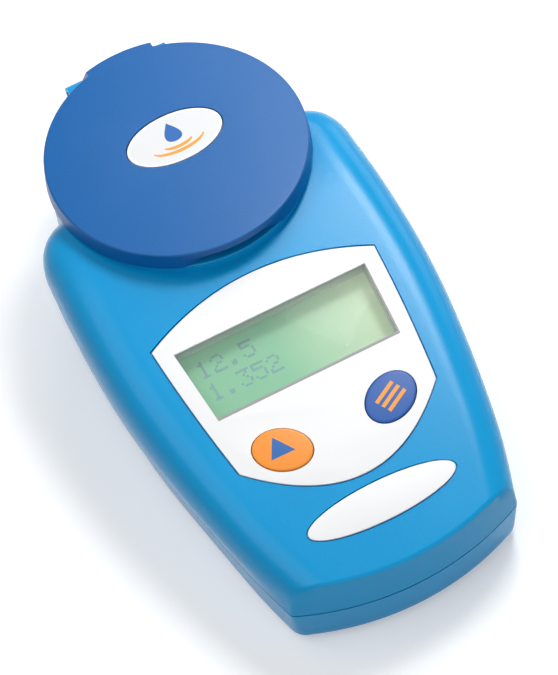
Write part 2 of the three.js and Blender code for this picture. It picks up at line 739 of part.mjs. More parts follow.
// Optics block: moulding with the prism's pocket and the light paths to the lamp and the sensor
function opticsBlock() {
  let body = solid(block(0, 0, (opticsBottom + opticsTop) / 2, 2 * opticsHalfWidth, 2 * opticsHalfLength,
    opticsTop - opticsBottom));
  const bodyTop = headTop - wellDepth - prismNeck;
  const pocketBottom = bodyTop - prismBodyHeight - gap;
  const pocket = crosswise([
    flat(-prismBodyTop - gap, pocketBottom), flat(prismBodyTop + gap, pocketBottom),
    flat(prismBodyTop + gap, lidTop), flat(-prismBodyTop - gap, lidTop),
  ], prismBodyHalfWidth + gap);
  const lampBore = new THREE.CylinderGeometry(lampRadius + gap, lampRadius + gap, everything, fineSteps);
  body = body.subtract(solid(pocket));
  lampBore.translate(0, -everything / 2, lampHeight);
  const slotWidth = sensorWidth + 2 * gap;
  const sensorSlot = block(0, everything / 2, lampHeight, slotWidth, everything, sensorHeight + 2 * gap);
  return body.subtract(solid(lampBore)).subtract(solid(sensorSlot));
}

function lampHousing() {
  const start = opticsHalfLength - lampLength;
  const shoulder = lampLength + gap;
  const rimRadius = lampRadius + lampRim;
  const body = turned([[0, 0], [lampRadius, 0], [lampRadius, lampLength], [lampRadius + gap, shoulder],
    [rimRadius, shoulder], [rimRadius, shoulder + lampRim], [0, shoulder + lampRim]], fineSteps);
  return solid(body.rotateX(Math.PI / 2).translate(0, -start, lampHeight));
}

function imageSensor() {
  const y = opticsHalfLength - sensorThickness / 2;
  return solid(block(0, y, lampHeight, sensorWidth, sensorThickness, sensorHeight));
}

function sensorBoard() {
  const y = opticsHalfLength + gap + sensorBoardThickness / 2;
  const z = sensorBoardBottom + sensorBoardHeight / 2;
  return solid(block(0, y, z, 2 * sensorBoardHalfWidth, sensorBoardThickness, sensorBoardHeight));
}

// Flat cable from the sensor board's edge past the optics block down to the main board's far edge
function flatCable() {
  const startX = sensorBoardHalfWidth + gap;
  const y = opticsHalfLength + gap + sensorBoardThickness / 2;
  const z = sensorBoardBottom + cableWidth;
  const end = new THREE.Vector3(0, boardTop, -boardDepth - boardThickness / 2).applyMatrix4(deck);
  const path = new THREE.CatmullRomCurve3([
    new THREE.Vector3(startX, y, z), new THREE.Vector3(startX + cableWidth / 4, y, z),
    new THREE.Vector3(startX + cableWidth / 4, 0, z), new THREE.Vector3(startX, -opticsHalfLength, z),
    new THREE.Vector3(startX, end.y + gap + cableThickness, end.z),
  ], false, 'catmullrom', cableTensionShare);
  const section = new THREE.Shape([
    flat(-cableWidth / 2, -cableThickness / 2), flat(cableWidth / 2, -cableThickness / 2),
    flat(cableWidth / 2, cableThickness / 2), flat(-cableWidth / 2, cableThickness / 2),
  ]);
  const run = { steps: cableSteps, bevelEnabled: false, extrudePath: path };
  return solid(new THREE.ExtrudeGeometry(section, run));
}

// Panel film with its window and its two key holes
function keypadOverlay() {
  const keyHoles = [-1, 1].map((side) => keyOutline(side, runningGap).reverse());
  const holes = [windowOutline(0).reverse(), ...keyHoles];
  return inDeck(prism(panelOutline(0), panelProud - panelThickness, panelProud, holes));
}

function frontPlate() {
  return inDeck(prism(plateOutline(0), panelProud - panelThickness, panelProud));
}

const windowFace = panelProud - panelThickness - gap;

function displayWindow() {
  return inDeck(prism(windowOutline(windowLap), windowFace - windowThickness, windowFace));
}

// Bezel: grey frame whose inner walls show through the window, with a flange below the case wall
function displayBezel() {
  const collarTop = windowFace - windowThickness - gap;
  const collar = prism(windowOutline(bezelWall), gap - displayDepth, collarTop, [windowOutline(0).reverse()]);
  const flangeTop = -wall - gap;
  const flange = prism(windowOutline(bezelFlange), flangeTop - bezelFlangeThickness, flangeTop,
    [windowOutline(0).reverse()]);
  return inDeck(collar).add(inDeck(flange));
}

function displayGlass() {
  return inDeck(prism(windowOutline(bezelFlange), -displayDepth - displayThickness, -displayDepth));
}

function displayBacklight() {
  return inDeck(prism(windowOutline(bezelWall), gap - boardDepth, -displayDepth - displayThickness - gap));
}

// Key: crowned oval cap with a retaining flange below the case wall and a stem over the switch
function key(side) {
  const cap = prism(keyOutline(side, 0), -wall - gap - keyFlangeThickness, keyProud);
  const crown = prism(keyOutline(side, -keyCrown), 0, keyProud + keyCrown / 2);
  const flange = prism(keyOutline(side, keyFlange), -wall - gap - keyFlangeThickness, -wall - gap);
  const stem = drum(keyStemRadius, switchHeight + keyStemRadius / 2 - boardDepth + keyTravel + gap,
    -wall, fineSteps).translate(side * keyX, keyY, 0);
  return inDeck(cap).add(inDeck(crown)).add(inDeck(flange)).add(inDeck(stem));
}

function tactSwitch(side) {
  const floor = gap - boardDepth;
  const top = floor + switchHeight;
  const body = block(side * keyX, keyY, floor + switchHeight / 2, switchSide, switchSide, switchHeight);
  const plunger = drum(switchButtonRadius, top - hair, top + keyStemRadius / 2 - gap, fineSteps);
  return inDeck(body).add(inDeck(plunger.translate(side * keyX, keyY, 0)));
}

function mainBoard() {
  const middle = (boardTop + boardBottom) / 2;
  const notch = (bossRadius + gap) * 2;
  const z = -boardDepth - boardThickness / 2;
  let board = inDeck(block(0, middle, z, 2 * boardHalfWidth, boardTop - boardBottom, boardThickness));
  for (const x of [-boardHalfWidth, boardHalfWidth]) {
    board = board.subtract(inDeck(block(x, boardBottom, -boardDepth, 2 * notch, notch, overrun)));
  }
  return board;
}

function processor() {
  const z = -boardDepth - boardThickness - gap - chipThickness / 2;
  return inDeck(block(0, chipY, z, chipSide, chipSide, chipThickness));
}

const cellHeight = cellFloor + cellRadius;
const cellMiddle = bayFront + bayLength / 2;

// AAA cell with its raised terminal, lying along Y; way is +1 where the terminal points at the head
function cell(way) {
  const half = cellLength / 2;
  const profile = [[0, -half], [cellRadius, -half], [cellRadius, half], [cellNubRadius, half],
    [cellNubRadius, half + cellNubLength], [0, half + cellNubLength]];
  const body = turned(profile, ovalSteps).rotateX(-way * Math.PI / 2);
  return solid(body.translate(way * cellSpacing / 2, cellMiddle, cellHeight));
}

// Contact plate against one end wall of the bay
function contactPlate(x, way, width) {
  const y = cellMiddle + way * (bayLength / 2 - gap - contactThickness / 2);
  return solid(block(x, y, cellHeight + gap, width, contactThickness, contactHeight));
}

// Conical contact spring: one helix from the plate to the cell's flat end
class Helix extends THREE.Curve {
  constructor(height) {
    super();
    this.height = height;
  }

  getPoint(t, target = new THREE.Vector3()) {
    const angle = 2 * Math.PI * springTurns * t;
    const radius = springRadius + (springTipRadius - springRadius) * t;
    return target.set(radius * Math.cos(angle), this.height * t, radius * Math.sin(angle));
  }
}

function contactSpring(way) {
  const plateFace = bayLength / 2 - gap - contactThickness;
  const room = plateFace - cellLength / 2 - 2 * (gap + springWire);
  const wire = new THREE.Shape(oval(0, 0, springWire, springWire, 0, springSides));
  const coil = new THREE.ExtrudeGeometry(wire, {
    steps: springTurnSteps * springTurns, bevelEnabled: false, extrudePath: new Helix(room),
  });
  if (way < 0) coil.rotateX(Math.PI);
  const start = cellMiddle - way * (cellLength / 2 + gap + springWire + room);
  return solid(coil.translate(way * cellSpacing / 2, start, cellHeight));
}

// Pan-head case screw, driven up from below
function screw([x, y]) {
  const seat = screwSink;
  const head = arc(screwHeadRadius - screwHeadHeight / 2, seat - screwHeadHeight / 2, screwHeadHeight / 2,
    -Math.PI / 2, 0, edgeSteps).map((p) => [p.x, p.y]);
  const profile = [[0, seat - screwHeadHeight], ...head, [screwHeadRadius, seat], [screwRadius, seat],
    [screwRadius, seat + screwLength], [0, seat + screwLength + screwRadius]];
  return solid(turned(profile, fineSteps).translate(x, y, 0));
}

function foot([x, y]) {
  const top = shellBase + footSink - gap;
  const profile = [[0, 0], [footRadius - footEdge, 0], [footRadius, footEdge], [footRadius, top], [0, top]];
  return solid(turned(profile, ovalSteps).translate(x, y, 0));
}

function lidSeal() {
  const top = lidTop - lidPlate + sealGroove - gap;
  const lip = headTop + gap;
  const inner = sealRadius - sealWidth / 2;
  const outer = sealRadius + sealWidth / 2;
  const profile = [[inner, top], [inner, lip + sealWidth / 2], [sealRadius - sealWidth / 4, lip],
    [sealRadius + sealWidth / 4, lip], [outer, lip + sealWidth / 2], [outer, top], [inner, top]];
  return solid(turned(profile, roundSteps));
}

function lidBadge() {
  return solid(prism(badgeOutline(0), lidTop - badgeThickness, lidTop));
}

// Finishes
function paint(color, roughness, metalness = 0) {
  return new THREE.MeshStandardMaterial({ color, roughness, metalness });
}

const lightBlue = paint(0x3fa6dc, 0.45);
const darkBlue = paint(0x2a6cb4, 0.45);
const white = paint(0xf4f6f8, 0.4);
const orange = paint(0xf79e41, 0.4);
const keyBlue = paint(0x2f63a8, 0.4);
const clear = paint(0xe8f2ee, 0.05);
clear.transparent = true;
clear.opacity = 0.3;
const grey = paint(0xb9bdbb, 0.6);
const displayGreen = paint(0xacd3ac, 0.35);
const steel = paint(0xc8ccd0, 0.25, 1);
const sapphire = paint(0xdfe8ef, 0.05);
const black = paint(0x1c1d20, 0.6);
const rubber = paint(0x2a2c30, 0.9);
const boardGreen = paint(0x1f6b45, 0.5);
const cellGrey = paint(0x8a8f96, 0.35, 0.6);

const assembly = new THREE.Group();
const refractometer = new THREE.Group();
refractometer.position.y = (frontReach - hingeBack - knuckleRadius) / 2;
assembly.add(refractometer);

function place(name, form, material) {
  const mesh = form.getMesh();
  const geometry = new THREE.BufferGeometry();
  geometry.setAttribute('position', new THREE.BufferAttribute(new Float32Array(mesh.vertProperties), 3));
  geometry.setIndex(new THREE.BufferAttribute(new Uint32Array(mesh.triVerts), 1));
  geometry.computeVertexNormals();
  const part = new THREE.Mesh(geometry, material);
  part.name = name;
  refractometer.add(part);
}

place('upper_shell', upperShell(), lightBlue);
place('lower_shell', lowerShell(), lightBlue);
place('lid_cover', lidCover(), darkBlue);
place('lid_badge', lidBadge(), white);
place('lid_seal', lidSeal(), rubber);
place('hinge_pin', hingePin(), steel);
place('sample_dish', sampleDish(), steel);
place('measuring_prism', measuringPrism(), sapphire);
place('prism_seal', prismSeal(), rubber);
place('optics_block', opticsBlock(), black);
place('lamp_housing', lampHousing(), white);
place('image_sensor', imageSensor(), black);
place('sensor_board', sensorBoard(), boardGreen);
place('flat_cable', flatCable(), white);
place('keypad_overlay', keypadOverlay(), white);
place('front_plate', frontPlate(), white);
place('display_window', displayWindow(), clear);
place('display_bezel', displayBezel(), grey);
place('display_glass', displayGlass(), displayGreen);
place('display_backlight', displayBacklight(), white);
place('start_key', key(-1), orange);
place('menu_key', key(1), keyBlue);
place('start_switch', tactSwitch(-1), black);
place('menu_switch', tactSwitch(1), black);
place('main_board', mainBoard(), boardGreen);
place('processor', processor(), black);
place('cell_left', cell(-1), cellGrey);
place('cell_right', cell(1), cellGrey);
place('contact_bridge', contactPlate(0, -1, 2 * cellSpacing - gap), steel);
place('contact_left', contactPlate(-cellSpacing / 2, 1, cellSpacing - 2 * contactInset), steel);
place('contact_right', contactPlate(cellSpacing / 2, 1, cellSpacing - 2 * contactInset), steel);
place('spring_left', contactSpring(-1), steel);
place('spring_right', contactSpring(1), steel);
place('battery_door', batteryDoor(), lightBlue);
screwPlaces.forEach((spot, i) => place(`case_screw_${i + 1}`, screw(spot), steel));
footPlaces.forEach((spot, i) => place(`foot_${i + 1}`, foot(spot), rubber));

export default assembly;
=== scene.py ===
import math

import bmesh
import bpy
import numpy as np
from mathutils import Matrix, Vector


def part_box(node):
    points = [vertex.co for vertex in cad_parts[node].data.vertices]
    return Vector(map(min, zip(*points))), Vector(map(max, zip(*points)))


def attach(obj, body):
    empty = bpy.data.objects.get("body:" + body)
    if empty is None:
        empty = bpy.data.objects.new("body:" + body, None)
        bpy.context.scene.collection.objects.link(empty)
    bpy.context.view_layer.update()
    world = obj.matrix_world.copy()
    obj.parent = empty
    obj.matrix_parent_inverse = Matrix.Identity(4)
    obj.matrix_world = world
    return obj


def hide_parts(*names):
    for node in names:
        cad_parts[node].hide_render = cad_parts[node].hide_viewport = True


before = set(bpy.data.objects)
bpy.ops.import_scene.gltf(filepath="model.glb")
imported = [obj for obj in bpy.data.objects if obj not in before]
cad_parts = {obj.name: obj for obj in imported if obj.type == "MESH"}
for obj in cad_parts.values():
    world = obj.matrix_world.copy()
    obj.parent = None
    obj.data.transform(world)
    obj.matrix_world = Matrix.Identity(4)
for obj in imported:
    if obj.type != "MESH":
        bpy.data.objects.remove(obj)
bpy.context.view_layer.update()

# Camera: a long lens in front of the instrument's left side, about 55 degrees above the bench and rolled
# so that the far end leans to the left. Its place was worked out from the round lid and the panel's corners.
scene = bpy.context.scene
scene.view_settings.view_transform = "Standard"
well_axis_y = sum(corner.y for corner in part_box("lid_seal")) / 2 * 1000


def linked(name, data):
    """A new object in the scene from its camera, lamp or mesh data."""
    thing = bpy.data.objects.new(name, data)
    scene.collection.objects.link(thing)
    return thing


camera_data = bpy.data.cameras.new("photo_camera")
camera_data.lens, camera_data.sensor_width = 213.5, 36
camera_data.clip_start, camera_data.clip_end = 0.01, 20
camera = scene.camera = linked("photo_camera", camera_data)
camera_back = Vector((-0.1842, -0.5400, 0.8212)).normalized()
camera_up = camera_back.cross(Vector((0.8843, -0.4558, -0.1014))).normalized()
camera_turn = Matrix((camera_up.cross(camera_back), camera_up, camera_back)).transposed()
camera_place = Vector((-0.1574, well_axis_y / 1000 - 0.5066, 0.7272))
camera.matrix_world = Matrix.Translation(camera_place) @ camera_turn.to_4x4()

# Bench top and light: a plain white surface that stays white far off, a white surround that lights the
# object only faintly, a small softbox near the right whose sheen fades across the deck, wide panels overhead
# and in front, and two softboxes at the back and the right for the sheen on the lid and the right fillet.
bench_half, bench_depth = 3.0, 0.00005
bench_mesh = bpy.data.meshes.new("bench_top")
bench_mesh.from_pydata([(x * bench_half, y * bench_half, -bench_depth)
                        for x, y in ((-1, -1), (1, -1), (1, 1), (-1, 1))], [], [(0, 1, 2, 3)])
bench = linked("bench_top", bench_mesh)


def linear(colour):
    """A colour given in 0 to 255 display values, as linear shares with an alpha of 1."""
    shares = [value / 255 for value in colour]
    return [s / 12.92 if s <= 0.04045 else ((s + 0.055) / 1.055) ** 2.4 for s in shares] + [1.0]


def feed(node, inputs):
    """Gives each named or numbered input of a node its value, or joins it to the output that is given."""
    for socket, value in inputs.items():
        if isinstance(value, bpy.types.NodeSocket):
            node.id_data.links.new(value, node.inputs[socket])
        else:
            node.inputs[socket].default_value = value
    return node


def add_node(tree, kind, inputs, **settings):
    """A new shader node of a kind, with its settings and its inputs."""
    node = tree.nodes.new(f"ShaderNode{kind}")
    for name, value in settings.items():
        setattr(node, name, value)
    return feed(node, inputs)


def new_material(name):
    """A new material with its node tree, its shader and the output that gives places on the piece."""
    material = bpy.data.materials.new(name)
    material.use_nodes = True
    tree = material.node_tree
    return material, tree, tree.nodes["Principled BSDF"], add_node(tree, "TexCoord", {}).outputs["Object"]


def seen_directly(tree):
    """A value of 1 for rays from the camera, in a mirror or through glass, and 0 for all others."""
    path = add_node(tree, "LightPath", {}).outputs
    seen = path["Is Camera Ray"]
    for ray in ("Is Glossy Ray", "Is Transmission Ray"):
        seen = add_node(tree, "Math", {0: seen, 1: path[ray]}, operation="MAXIMUM").outputs[0]
    return seen


def show_where_seen(tree, output, plain, bright):
    """Ends a node tree in its plain shader, or in the bright one where it is seen directly."""
    choice = add_node(tree, "MixShader", {0: seen_directly(tree), 1: plain.outputs[0], 2: bright.outputs[0]})
    feed(tree.nodes[output], {"Surface": choice.outputs[0]})


bench_paint, tree, shader, place = new_material("bench_white")
feed(shader, {"Base Color": (0.8, 0.8, 0.8, 1), "Roughness": 0.9, "Specular IOR Level": 0.1})
reach = add_node(tree, "VectorMath", {0: place}, operation="LENGTH").outputs["Value"]
fade = add_node(tree, "MapRange", {"Value": reach, "From Min": 0.3, "From Max": 1.2, "To Min": 0.35,
                                   "To Max": 1.0})
glow = add_node(tree, "Emission", {"Strength": fade.outputs["Result"]})
lit = add_node(tree, "AddShader", {0: shader.outputs[0], 1: glow.outputs[0]})
show_where_seen(tree, "Material Output", shader, lit)
bench_mesh.materials.append(bench_paint)

surround = scene.world = bpy.data.worlds.new("pale_surround")
surround.use_nodes = True
tree = surround.node_tree
faint = feed(tree.nodes["Background"], {"Color": (1, 1, 1, 1), "Strength": 0.12})
show_where_seen(tree, "World Output", faint, add_node(tree, "Background", {"Color": (1, 1, 1, 1)}))
for name, place, aim, size, power in (
        ("right_softbox", (0.158, 0.101, 0.377), (0.02, -0.02, 0.03), 0.11, 0.85),
        ("overhead_panel", (-0.37, 0.02, 0.78), (0, 0, 0.02), 0.75, 2.9),
        ("back_softbox", (0.2, 0.32, 0.42), (0, 0.03, 0.04), 0.2, 0.55),
        ("side_softbox", (0.6, 0.3, 0.26), (0, 0, 0.03), 0.3, 0.6),
        ("front_panel", (0, -0.95, 0.4), (0, 0, 0.02), 1.0, 2.2)):
    lamp_data = bpy.data.lights.new(name, "AREA")
    lamp_data.size, lamp_data.energy = size, power
    turn = (Vector(place) - Vector(aim)).normalized().to_track_quat("Z", "Y")
    linked(name, lamp_data).matrix_world = Matrix.Translation(place) @ turn.to_matrix().to_4x4()

# Upper shell: the light blue moulded top of the case. Its deck slopes down to the near end, its sides fall
# off in large fillets, its shoulders lean out a little, and a round head with a seat for the sample well
# stands on it. Four screw bosses and four posts for the main board stand inside.
fit_gap, shell_wall, sharp_angle = 0.3, 2.2, math.radians(35)
lid_top, head_top = (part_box(node)[1].z * 1000 for node in ("lid_cover", "sample_dish"))
head_radius, head_edge, deck_at_head, deck_slope, deck_ease = 28.7, 0.35, head_top + 2.3, 0.1708, 2.0
deck_turn = math.atan(deck_slope)
parting_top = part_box("upper_shell")[0].z * 1000
parting_bottom = parting_top - 0.42
front_reach, front_bulge, front_half_width, front_corner = 106.3, 6.3, 26.9, 2.0
shoulder_half_width, shoulder_end_half_width = 38.3, 37.6
shoulder_back, shoulder_corner, shoulder_roll, shoulder_drop = 5.7, 15.2, 9.9, 11.4
side_start, side_end = -24, front_bulge - front_reach
front_fillet, shoulder_fillet, fillet_power = 7.4, 10.0, 2.5
shoulder_tuck, tuck_share, upper_draft, crease_round = 2.0, 0.5, 0.4, 1.3
front_arc_radius = (front_half_width ** 2 + front_bulge ** 2) / (2 * front_bulge)
front_centre_y = front_arc_radius - front_reach
corner_steps, side_steps, front_steps, back_steps, corner_gap = 14, 210, 48, 16, 0.5
spine_lead, spine_back = 22, -12.0
# the side's plan: share of the way to the front corner, share of the widening
side_shares = np.array([(0, 1), (0.18, 1), (0.34, 0.93), (0.5, 0.79), (0.67, 0.59), (0.84, 0.34), (1, 0),
                        (1.16, -0.4)])
panel_top_half, panel_top_y, panel_top_bow = 26.7, -40.2, 6.9
panel_low_half, panel_low_y, panel_low_bow, panel_side_bow = 23.3, -73.9, 12.1, 0.4
panel_thickness, panel_proud, panel_edge_gap = 0.5, 0.15, 0.35
window_top_y, window_low_y, window_top_half, window_low_half, window_lap = -42.9, -60.4, 22.8, 21.5, 1.2
key_x, key_y, key_half_length, key_half_width, key_turn, key_gap = 12.85, -73.2, 6.6, 5.0, 29, 0.35
plate_y, plate_half_length, plate_half_width = -93.1, 17.3, 4.4
dish_radius, dish_flange, well_radius, dish_wall = 24.5, 1.2, 16, 1.2
knuckle_radius, knuckle_half, pin_radius, lug_thickness, running_gap = 2.2, 7.9, 1.0, 4.0, 0.35
boss_radius, screw_hole, pilot_top = 3.0, 1.3, 17.3
post_radius, post_x, post_far_y, post_near_y, post_foot = 2.0, 23.0, -38.0, -67.0, -7.9
# how far the cutters reach: through the deck, down the well and along the hinge's axis
cutter_reach, well_cut_foot, hinge_bore_half = 6, 10, 30


def middle_of(node):
    """The middle of a solid's box, in millimetres about the well's axis."""
    x, y, z = ((a + b) / 2 * 1000 for a, b in zip(*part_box(node)))
    return x, y - well_axis_y, z


def placed(points):
    """Points in millimetres about the well's axis, as points of the frame in metres."""
    return (np.asarray(points, float) + (0, well_axis_y, 0)) / 1000


def on_deck(points):
    """Points drawn flat on the deck (x, y, height above it), turned into its slope about the head's axis."""
    x, y, z = np.moveaxis(np.asarray(points, float), -1, 0)
    cosine, sine = math.cos(deck_turn), math.sin(deck_turn)
    return np.stack([x, y * cosine - z * sine, deck_at_head + y * sine + z * cosine], -1)


def softened(mesh):
    """A mesh shaded smooth, but for its sharp edges."""
    mesh.shade_smooth()
    mesh.set_sharp_from_angle(angle=sharp_angle)
    return mesh


def mesh_piece(name, points, faces):
    """A new object at the origin from points in metres and faces."""
    mesh = bpy.data.meshes.new(name)
    mesh.from_pydata(np.asarray(points, float).reshape(-1, 3).tolist(), [], faces)
    mesh.validate()
    return linked(name, softened(mesh))


def ring_faces(levels, count, loop=False):
    """Four-sided faces that join each ring of points to the next, and in a loop the last to the first."""
    level, k = np.meshgrid(np.arange(levels if loop else levels - 1), np.arange(count), indexing="ij")
    after, beside = (level + 1) % levels, (k + 1) % count
    quads = [level * count + k, level * count + beside, after * count + beside, after * count + k]
    return np.stack(quads, -1).reshape(-1, 4).tolist()


def loft(name, rings, loop=False):
    """A closed surface over rings of points. Flat caps close its ends, or its last ring meets the first."""
    levels, count = np.shape(rings)[:2]
    caps = [list(range(count - 1, -1, -1)), list(range((levels - 1) * count, levels * count))]
    return mesh_piece(name, rings, ring_faces(levels, count, loop) + ([] if loop else caps))


def stacked(name, layers, turn=np.array):
    """A closed solid through outlines in plan, each with its height or heights, on the deck if asked."""
    rings = [np.column_stack([outline, np.full(len(outline), height)]) for outline, height in layers]
    return loft(name, placed(turn(rings)))


def prism(name, outline, low, high, turn=np.array):
    """An outline in plan carried straight up between two heights."""
    return stacked(name, [(outline, low), (outline, high)], turn)


def crosswise(name, stations):
    """A closed solid along X through outlines in Y and height, each with its place along X."""
    rings = [np.column_stack([np.full(len(outline), x), outline]) for x, outline in stations]
    return loft(name, placed(rings))


def turned(name, profile, steps, centre=(0, 0), ring=False):
    """A profile of radius and height turned about an upright axis; its points run up the outside.

    Flat faces close its first and last circle, or as a ring the profile closes on itself through the inside.
    """
    radius, height = np.asarray(profile, float).T
    angle = np.linspace(0, 2 * np.pi, steps, endpoint=False)
    x = centre[0] + radius[:, None] * np.cos(angle)
    y = centre[1] + radius[:, None] * np.sin(angle)
    return loft(name, placed(np.stack([x, y, np.broadcast_to(height[:, None], x.shape)], -1)), ring)


def arc(cx, cy, radius, start, end, steps):
    """Points of an arc about a centre between two angles in degrees, both ends included."""
    angle = np.radians(np.linspace(start, end, steps + 1))
    return np.stack([cx + radius * np.cos(angle), cy + radius * np.sin(angle)], -1)


def oval(cx, cy, half_length, half_width, turn=0.0, steps=96):
    """Points round an oval about a centre, its long axis turned by an angle in degrees."""
    angle = np.linspace(0, 2 * np.pi, steps, endpoint=False)
    x, y = half_length * np.cos(angle), half_width * np.sin(angle)
    c, s = math.cos(math.radians(turn)), math.sin(math.radians(turn))
    return np.stack([cx + x * c - y * s, cy + x * s + y * c], -1)


def carve(piece, other, operation="DIFFERENCE"):
    """Cuts the other piece out of a piece, or joins or keeps the common part, and removes the other."""
    change = piece.modifiers.new("carve", "BOOLEAN")
    change.operation, change.solver, change.object = operation, "MANIFOLD", other
    bpy.context.view_layer.update()
    finished = bpy.data.meshes.new_from_object(piece.evaluated_get(bpy.context.evaluated_depsgraph_get()))
    piece.modifiers.clear()
    piece.data = softened(finished)
    bpy.data.objects.remove(other)


def smooth_line(knots, count):
    """Points along a curve through knots, which leaves each knot along the chord of its neighbours."""
    last = len(knots) - 1
    way = np.linspace(0, 1, count) * last
    index = np.minimum(way.astype(int), last - 1)
    w = (way - index)[:, None]
    here, there = knots[index], knots[index + 1]
    leave = (there - knots[np.maximum(index - 1, 0)]) / 2
    arrive = (knots[np.minimum(index + 2, last)] - here) / 2
    cubic = 2 * here - 2 * there + leave + arrive
    square = -3 * here + 3 * there - 2 * leave - arrive
    return cubic * w ** 3 + square * w ** 2 + leave * w + here


shoulder_arc = arc(shoulder_end_half_width - shoulder_corner, shoulder_back - shoulder_corner,
                   shoulder_corner, 90, 0, 40)
side_knots = np.stack([front_half_width + (shoulder_half_width - front_half_width) * side_shares[:, 1],
                       side_start + (side_end - side_start) * side_shares[:, 0]], -1)
long_side = smooth_line(np.vstack([shoulder_arc[-1:], side_knots]), 241)
side_line = np.vstack([shoulder_arc[:-1], long_side])


def side_share(y):
    """How far a place is from the front corners (0) towards the shoulders (1)."""
    return np.clip((y - side_end) / (side_start - side_end), 0, 1)


def tuck_in(y):
    """How far the walls stand in at the parting line: not at the front corners, then soon the whole tuck."""
    return shoulder_tuck * (1 - (1 - np.minimum(side_share(y) / tuck_share, 1)) ** 2)


def distance_to_side(x, y):
    """Shortest distance in plan from points to the side's outline, drawn as straight stretches."""
    p = np.stack([np.abs(x), y], -1)[..., None, :]
    a, b = side_line[:-1], side_line[1:]
    along = b - a
    w = np.clip(((p - a) * along).sum(-1) / (along ** 2).sum(-1), 0, 1)
    return np.sqrt((((a + w[..., None] * along) - p) ** 2).sum(-1)).min(-1)


def fall(distance, radius, power=2.0):
    """Drop of a quarter round at a distance in from its edge; a power over 2 starts it softly."""
    over = np.clip((radius - distance) / radius, 0, 1)
    return radius * (1 - (1 - over ** power) ** (1 / power))


def top_height(x, y, offset):
    """Height of the case's top, moved in by an offset. Along Y it is the lower of the sloping deck and the
    head, eased where they meet, less a quarter round behind the shoulders. The side's fillet and the front's
    small round come off it."""
    deck = deck_at_head + y * deck_slope
    blend = np.maximum(deck_ease - np.abs(deck - head_top), 0) ** 2 / (4 * deck_ease)
    over = np.clip((y - (shoulder_back - shoulder_roll)) / shoulder_roll, 0, 1)
    level = np.minimum(deck, head_top) - blend - shoulder_drop * (1 - np.sqrt(1 - over ** 2))
    fillet = front_fillet + (shoulder_fillet - front_fillet) * side_share(y) - offset
    side = fall(distance_to_side(x, y) - offset - upper_draft, fillet, fillet_power)
    to_front = front_arc_radius - np.hypot(x, y - front_centre_y) - offset
    front = fall(to_front, crease_round) if offset == 0 else 0
    return np.maximum(level - offset - side - front, parting_top + fit_gap)


def plan_outline(corner):
    """The case's whole plan with a round of that radius at both front corners, which touches the side's
    straight end and the front's arc.

    Returns its points, which of them lie in the rounds, the right round's centre and the way from it to where
    the side and the front would meet, as long as one unit of the radius asks for.
    """
    end = np.argmin(np.hypot(*(long_side - (front_half_width, side_end)).T))
    along = long_side[end] - long_side[end - 1]
    along = along / np.hypot(*along)
    side_out = np.array([-along[1], along[0]])
    front_out = np.array([front_half_width, side_end - front_centre_y]) / front_arc_radius
    cross = side_out[0] * front_out[1] - side_out[1] * front_out[0]
    back_off = np.array([front_out[1] - side_out[1], side_out[0] - front_out[0]]) / cross
    centre = np.array([front_half_width, side_end]) - corner * back_off
    start, stop = (math.degrees(math.atan2(v[1], v[0])) for v in (side_out, front_out))
    bend = arc(*centre, corner, start, stop, corner_steps)
    side_y = np.linspace(long_side[0, 1], bend[0, 1] + corner_gap, side_steps)
    side = np.stack([np.interp(side_y, long_side[::-1, 1], long_side[::-1, 0]), side_y], -1)
    half_turn = math.degrees(math.asin(bend[-1, 0] / front_arc_radius))
    front = arc(0, front_centre_y, front_arc_radius, -90 + half_turn, -90, front_steps)[2:]
    back = np.stack([np.linspace(0, shoulder_arc[0, 0], back_steps), np.full(back_steps, shoulder_back)], -1)
    half = np.vstack([back[:-1], shoulder_arc[:-1], side, bend, front])
    marks = np.zeros(len(half), bool)
    marks[-len(front) - len(bend):-len(front)] = True
    middle_out = side_out + front_out
    way = middle_out / np.hypot(*middle_out) / math.cos(math.radians(start - stop) / 2)
    whole = np.vstack([half, (half * (-1, 1))[-2:0:-1]])[::-1]
    return whole, np.concatenate([marks, marks[-2:0:-1]])[::-1], centre, way


def drawn_in(outline, distance):
    """A closed outline moved in square to itself by a distance for each point."""
    along = np.roll(outline, -1, 0) - np.roll(outline, 1, 0)
    along /= np.hypot(*along.T)[:, None]
    return outline + np.stack([-along[:, 1], along[:, 0]], -1) * np.reshape(distance, (-1, 1))


def plan_in(distance, corner=front_corner):
    """The case's plan with that radius at its front corners, moved in by a distance that may change along Y.
    Past the corner's own radius, its points gather on the line that halves the corner."""
    plan, in_round, centre, way = plan_outline(corner)
    inward = distance(plan[:, 1])
    past = (inward - corner)[:, None]
    mirror = np.column_stack([np.sign(plan[:, 0]), np.ones(len(plan))])
    meeting = (centre - way * np.maximum(past, 0)) * mirror
    return np.where(in_round[:, None] & (past > 0), meeting, drawn_in(plan, inward))


